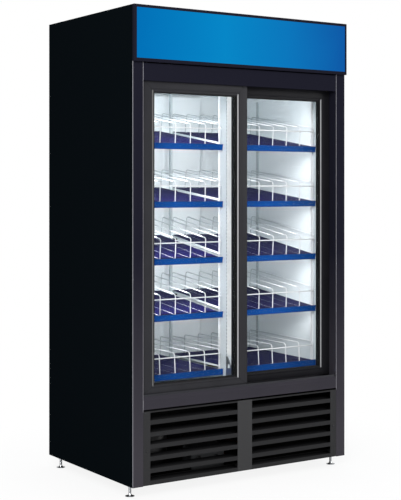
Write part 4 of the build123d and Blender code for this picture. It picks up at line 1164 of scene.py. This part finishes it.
def finnedCoil(name):
    coil = coils[name]
    (x0, x1), (y0, y1), (z0, z1) = coil["x"], coil["y"], coil["z"]
    plate, radius, (gapX, gapY, gapZ) = coils["endPlate"], coils["bendRadius"], coils["finMargin"]
    first = x0 + plate + gapX
    fin = startBox("fin", first, first + coils["finSheet"], y0 + gapY, y1 - gapY, z0 + gapZ, z1 - gapZ)
    repeated(fin, int((x1 - x0 - 2 * (plate + gapX)) / coils["finPitch"]), x=coils["finPitch"])
    pieces = [fin]
    for x in (x0, x1 - plate):
        pieces.append(softBox("endPlate", x, x + plate, y0, y1, z0, z1, coils["endPlateEdge"], 1, smooth=None))
    start = x0 + coils["tubeInset"]
    run = x1 + coils["bendStart"] - start
    for part in coils["tubeColumns"]:
        y = y0 + part * (y1 - y0)
        for number in range(coil["hairpins"]):
            z = z0 + (z1 - z0) * (number + 0.5) / coil["hairpins"] - radius
            pieces.append(bentWire("hairpin", (start, y, z), (1, 0, 0), coils["tube"],
                                   [(run, 180, radius, (0, -1, 0)), (run, 0, 0, None)], 8, 6))
    return settle(joined(pieces, name + "FinnedCoil"), toMetres)


finished(finnedCoil("condenser"), "shadeDarkCoil", "fin_aluminium", "condenser_coil")
finished(finnedCoil("evaporator"), "finAluminium", "fin_aluminium", "evaporator_coil")
print("coils")


# Compressor and refrigerant lines

compressorShell = {
    "place": (-340, -128),
    "profile": ((66, 69), (74, 71.5), (77, 77), (77, 138), (78, 139), (78, 145), (77, 146), (77, 194), (74.5, 211),
                (67, 224), (53, 232.5), (34, 236), (14, 237)),
    "plate": (90, 62, 66, 69),
    "plateCorner": 14,
    "mount": ((9.8, 52), (9.8, 57), (7, 58.5), (7, 61.5), (9.8, 63), (9.8, 66)),
    "mountSpots": (78, 48),
    "stub": (8, 88),
    "stubHeights": (154, 144),
    "cover": (-92, -70, 28, 30),
    "coverEdge": 4,
}
pipework = {
    "radius": 4,
    "bend": 22,
    "lines": {                 # start and first direction, then corner to corner, the turn there and its axis
        "discharge": ((-252, -128, 154), (1, 0, 0), ((283, -90, "Z"), (184, 90, "Z"), (46, 0, "Z"))),
        "liquid": ((77, -312, 86), (-1, 0, 0), ((46, -90, "Z"), (300, 90, "X"), (72, -90, "X"), (44, 0, "X"))),
        "suction": ((-61, 32, 144), (0, -1, 0), ((33, -90, "Z"), (279, 90, "Z"), (39, 0, "Z"))),
    },
    "drier": ((4.4, 0), (5.2, 7), (9, 13), (12, 19), (12, 71), (9, 77), (5.2, 83), (4.4, 90)),
    "drierPlace": (31, -173, 86),
}


def compressorModel():
    shell = compressorShell
    x, y = shell["place"]
    halfX, halfY, z0, z1 = shell["plate"]
    body = settle(turned("shell", shell["profile"], 56, 40), Matrix.Translation((x, y, 0)))
    plate = startBox("mountPlate", x - halfX, x + halfX, y - halfY, y + halfY, z0, z1)
    pieces = [body, bevelled(plate, lambda a, b: abs(a.z - b.z) > 1, shell["plateCorner"], 4, 40)]
    mount = turned("mount", shell["mount"], 20, 30)
    for sideX in (-1, 1):
        for sideY in (-1, 1):
            spot = (x + sideX * shell["mountSpots"][0], y + sideY * shell["mountSpots"][1], 0)
            pieces.append(copied(mount, "mount", Matrix.Translation(spot)))
    dropped(mount)
    radius, reach = shell["stub"]
    hot, cold = shell["stubHeights"]
    pieces.append(rod("stub", (x, y, hot), (1, 0, 0), radius, reach, 20))
    pieces.append(rod("stub", (x, y, cold), (0, 1, 0), radius, reach, 20))
    back, front, halfCover, halfHeight = shell["cover"]
    pieces.append(softBox("cover", x + back, x + front, y - halfCover, y + halfCover, hot - halfHeight,
                          hot + halfHeight, shell["coverEdge"], 3))
    return settle(joined(pieces, "weldedCompressor"), toMetres)


def pipeModel():
    bend, axes = pipework["bend"], {"X": (1, 0, 0), "Z": (0, 0, 1)}
    pieces = []
    for lineName, (start, facing, runs) in pipework["lines"].items():
        moves, bentBefore = [], 0
        for length, angle, axis in runs:   # each bend takes its part of the runs before and after it
            bentAfter = bend if angle else 0
            moves.append((length - bentBefore - bentAfter, angle, bend, axes[axis]))
            bentBefore = bentAfter
        pieces.append(bentWire(lineName, start, facing, pipework["radius"], moves, 12, 6))
    pieces.append(faceBack(turned("drier", pipework["drier"], 24, 40), *pipework["drierPlace"]))
    return settle(joined(pieces, "copperPipework"), toMetres)


finished(compressorModel(), "compressorEnamel", "compressor_black", "compressor")
finished(pipeModel(), "copperTube", "copper", "refrigerant_lines")
print("compressor and lines")


# Fans and their motors

fans = {
    "condenser": {"place": (292, -268, 170), "radius": 105, "floor": 52},
    "evaporator": {"place": (0, 267, 221), "radius": 78, "floor": 126},
    "blades": 5,
    "chord": 44,
    "rootChord": 0.62,         # part of the chord
    "root": 17,
    "tipGap": 1.5,
    "pitch": 39.9,
    "twist": -14,
    "twistSteps": 6,
    "tipCorner": 13,
    "sheet": 1.4,
    "hub": ((15, -8), (19, -7.4), (21.4, -5), (21.4, 8), (19, 8)),
}
fanMotor = {
    "gap": 8,                  # from the hub to the can
    "profile": ((27, 0), (32, 1.2), (33.4, 3.5), (33.4, 9), (32.2, 10), (32.2, 14), (33.4, 15), (33.4, 40),
                (32.2, 41), (32.2, 45), (33.4, 46), (33.4, 51.5), (32, 53.8), (27, 55)),
    "shaft": 3.9,
    "shaftStart": 0.3,         # behind the hub
    "foot": (17, 14),          # half its width and depth
    "footTop": -28,            # from the axis
    "footWaist": (4, 5),       # width of the rim and depth of the hollow in front and behind
}


def fanWheel(name):
    fan = fans[name]
    root, tip = fans["root"], fan["radius"] - fans["tipGap"]
    blade = startSheet("blade", ((root + tip) / 2, 0, 0), tip - root, fans["chord"],
                       (math.pi / 2 + math.radians(fans["pitch"]), 0, 0))
    pickEdges(blade, lambda a, b: max(a.x, b.x) < root + 0.01)
    bpy.ops.transform.resize(value=(1, fans["rootChord"], fans["rootChord"]), center_override=(root, 0, 0))
    closeEdit(blade)
    pickEdges(blade, lambda a, b: min(a.x, b.x) > tip - 0.01)
    bpy.ops.mesh.bevel(offset=fans["tipCorner"], segments=4, affect="VERTICES")
    closeEdit(blade)
    steps = fans["twistSteps"]
    cutAcross(blade, *(((root + (tip - root) * number / steps, 0, 0), (1, 0, 0)) for number in range(1, steps)))
    modified(blade, "SIMPLE_DEFORM", deform_method="TWIST", deform_axis="X", angle=math.radians(fans["twist"]))
    smoothed(modified(blade, "SOLIDIFY", thickness=fans["sheet"], offset=0), 40)
    pieces = [faceBack(turned("hub", fans["hub"], 36, 35), 0, 0, 0)]
    for number in range(fans["blades"]):
        turn = Matrix.Rotation(number * math.tau / fans["blades"], 4, "Y")
        pieces.append(copied(blade, "blade", turn))
    dropped(blade)
    return settle(joined(pieces, name + "FanWheel"), toMetres @ Matrix.Translation(fan["place"]))


def motorModel(name):
    motor, (x, y, z) = fanMotor, fans[name]["place"]
    hubBack = y + fans["hub"][-1][1]
    y0 = hubBack + motor["gap"]
    middle = y0 + motor["profile"][-1][1] / 2
    (halfX, halfY), (rim, hollow) = motor["foot"], motor["footWaist"]
    foot = startBox("motorFoot", x - halfX, x + halfX, middle - halfY, middle + halfY, fans[name]["floor"],
                    z + motor["footTop"])
    for side in (-1, 1):
        pickFaces(foot, lambda centre, normal: normal.y * side > 0.9)
        insetBy(rim)
        push(y=-side * hollow)
        closeEdit(foot)
    can = faceBack(turned("motorCan", motor["profile"], 36, 30), x, y0, z)
    shaft = rod("shaft", (x, hubBack + motor["shaftStart"], z), (0, 1, 0), motor["shaft"], motor["gap"], 16)
    return settle(joined([can, foot, shaft], name + "MotorCan"), toMetres)


for fanName in ("condenser", "evaporator"):
    finished(fanWheel(fanName), "fanPlastic", "fan_plastic", fanName + "_fan", body=fanName + "_fan")
    finished(motorModel(fanName), "motorGrey", "motor_grey", fanName + "_fan_motor")
print("fans and motors")


# Door rollers and hangers

doorHardware = {
    "spots": {                 # side, middle of the roller's rail and front of the hanger's foot
        "left_outer": (-436, -343, -364),
        "left_inner": (-58, -343, -364),
        "right_outer": (436, -309, -330),
        "right_inner": (58, -309, -330),
    },
    "axle": 1792.1,
    "top": 1753,               # of the door
    "wheel": ((9, -4), (12.5, -3.2), (13.5, -4), (15.6, -4), (16, -3.6), (16, 3.6), (15.6, 4), (13.5, 4),
              (12.5, 3.2), (9, 4)),
    "halfWidth": 20,
    "plateTop": 1804.1,
    "sheet": 3,
    "plateGap": 4.3,
    "corner": 6,
    "pinRadius": 2.9,
    "nut": ((4.4, 0), (4.9, 0.4), (4.9, 1.7), (4.4, 2)),
}


def rollerModel(spot):
    x, y, _ = doorHardware["spots"][spot]
    return settle(faceBack(turned("wheel", doorHardware["wheel"], 48, 30), x, y, doorHardware["axle"]), toMetres)


def hangerModel(spot):
    d = doorHardware
    x, y, front = d["spots"][spot]
    back, half, footTop = y - d["plateGap"], d["halfWidth"], d["top"] + d["sheet"]
    plate = startBox("hangerPlate", x - half, x + half, back - d["sheet"], back, d["top"], d["plateTop"])
    pickFaces(plate, lambda centre, normal: normal.y < -0.9)
    bpy.ops.mesh.bisect(plane_co=(0, 0, footTop), plane_no=(0, 0, 1))
    closeEdit(plate)
    pickFaces(plate, lambda centre, normal: normal.y < -0.9 and centre.z < footTop)
    extrudeBy(y=front + d["sheet"] - back)
    closeEdit(plate)
    bevelled(plate, lambda a, b: min(a.z, b.z) > d["plateTop"] - 0.01 and abs(a.y - b.y) > 1, d["corner"], 4, 35)
    pin = rod("pin", (x, back, d["axle"]), (0, 1, 0), d["pinRadius"], 2 * d["plateGap"], 16)
    nut = faceBack(turned("nut", d["nut"], 6, 20), x, y + d["plateGap"], d["axle"])
    return [plate, pin, nut]


for doorName in ("left", "right"):
    hangers = []
    for end in ("outer", "inner"):
        bodyName = doorName + "_door_" + end + "_roller"
        finished(rollerModel(doorName + "_" + end), "nylonWheel", "nylon", bodyName, body=bodyName)
        hangers += hangerModel(doorName + "_" + end)
    hangerSet = settle(joined(hangers, doorName + "HangerSet"), toMetres)
    finished(hangerSet, "zincSteel", "zinc_steel", doorName + "_door_hangers", body=doorName + "_door")
print("rollers and hangers")


# Control box, its knob and the lamp switch

controls = {
    "box": (-247, -77, -326, -256, 52, 172),
    "corner": 6,
    "spindle": (3.9, 10),      # radius and length
    "pocket": (9, 16, 9),      # half its width and height, and its depth
    "knob": (-204.5, -326.5, 112),
    "knobProfile": ((19.8, 0), (19.8, 1.2), (18.6, 1.8), (18.2, 4.4), (17, 5)),
    "grip": (4.2, 19, 4, 13.6),   # half its width and height, then where it starts and ends before the box
    "gripEdge": 1.6,
    "rocker": (-119.5, -326, 112),
    "rockerHalf": (8, 13),
    "rockerDepth": (-6, -3),
    "rockerDip": 2.2,          # of its two ends
    "rockerEdge": 0.35,
    "pivot": (3.8, 0.5),       # radius and inset
    "tilt": 8,
}


def controlHousing():
    c = controls
    x0, x1, y0, y1, z0, z1 = c["box"]
    rockerX, _, rockerZ = c["rocker"]
    width, height, depth = c["pocket"]
    box = startBox("controlHousing", x0, x1, y0, y1, z0, z1)
    bevelled(box, lambda a, b: abs(a.y - b.y) > 1, c["corner"], 4)
    cutAcross(box, ((rockerX - width, 0, 0), (1, 0, 0)), ((rockerX + width, 0, 0), (1, 0, 0)),
              ((0, 0, rockerZ - height), (0, 0, 1)), ((0, 0, rockerZ + height), (0, 0, 1)))
    pickFaces(box, lambda centre, normal: normal.y < -0.9 and abs(centre.x - rockerX) < width
              and abs(centre.z - rockerZ) < height)
    extrudeBy(y=depth)
    closeEdit(box, recalculate=True, smooth=35)
    knobX, _, knobZ = c["knob"]
    radius, length = c["spindle"]
    spindle = rod("spindle", (knobX, y0 - length, knobZ), (0, 1, 0), radius, length, 16)
    return settle(joined([box, spindle], "controlHousing"), toMetres)


def knobModel():
    x, y, z = controls["knob"]
    half, reach, start, end = controls["grip"]
    disc = turned("knobDisc", controls["knobProfile"], 40, 30)
    settle(disc, Matrix.Translation((x, y, z)) @ Matrix.Rotation(math.pi / 2, 4, "X"))
    grip = softBox("grip", x - half, x + half, y - end, y - start, z - reach, z + reach, controls["gripEdge"], 3)
    return settle(joined([disc, grip], "turnKnob"), toMetres)


def rockerModel():
    c = controls
    (halfX, halfZ), (front, back), (radius, inset) = c["rockerHalf"], c["rockerDepth"], c["pivot"]
    rocker = cutAcross(startBox("rocker", -halfX, halfX, front, back, -halfZ, halfZ), ((0, 0, 0), (0, 0, 1)))
    for side in (-1, 1):
        pickEdges(rocker, lambda a, b: min(a.z * side, b.z * side) > halfZ - 0.01 and max(a.y, b.y) < front + 0.1)
        push(y=c["rockerDip"])
        closeEdit(rocker)
    bevelled(rocker, lambda a, b: True, c["rockerEdge"], 2, 30)
    pivot = rod("pivot", (inset - halfX, 0, 0), (1, 0, 0), radius, 2 * (halfX - inset), 20)
    turn = Matrix.Translation(c["rocker"]) @ Matrix.Rotation(math.radians(c["tilt"]), 4, "X")
    return settle(joined([rocker, pivot], "lampRocker"), toMetres @ turn)


finished(controlHousing(), "controlGrey", "control_grey", "control_box")
finished(knobModel(), "knobBlack", "knob_black", "thermostat_knob", body="thermostat_knob")
finished(rockerModel(), "switchBlack", "switch_black", "lamp_switch", body="lamp_switch")
print("controls")
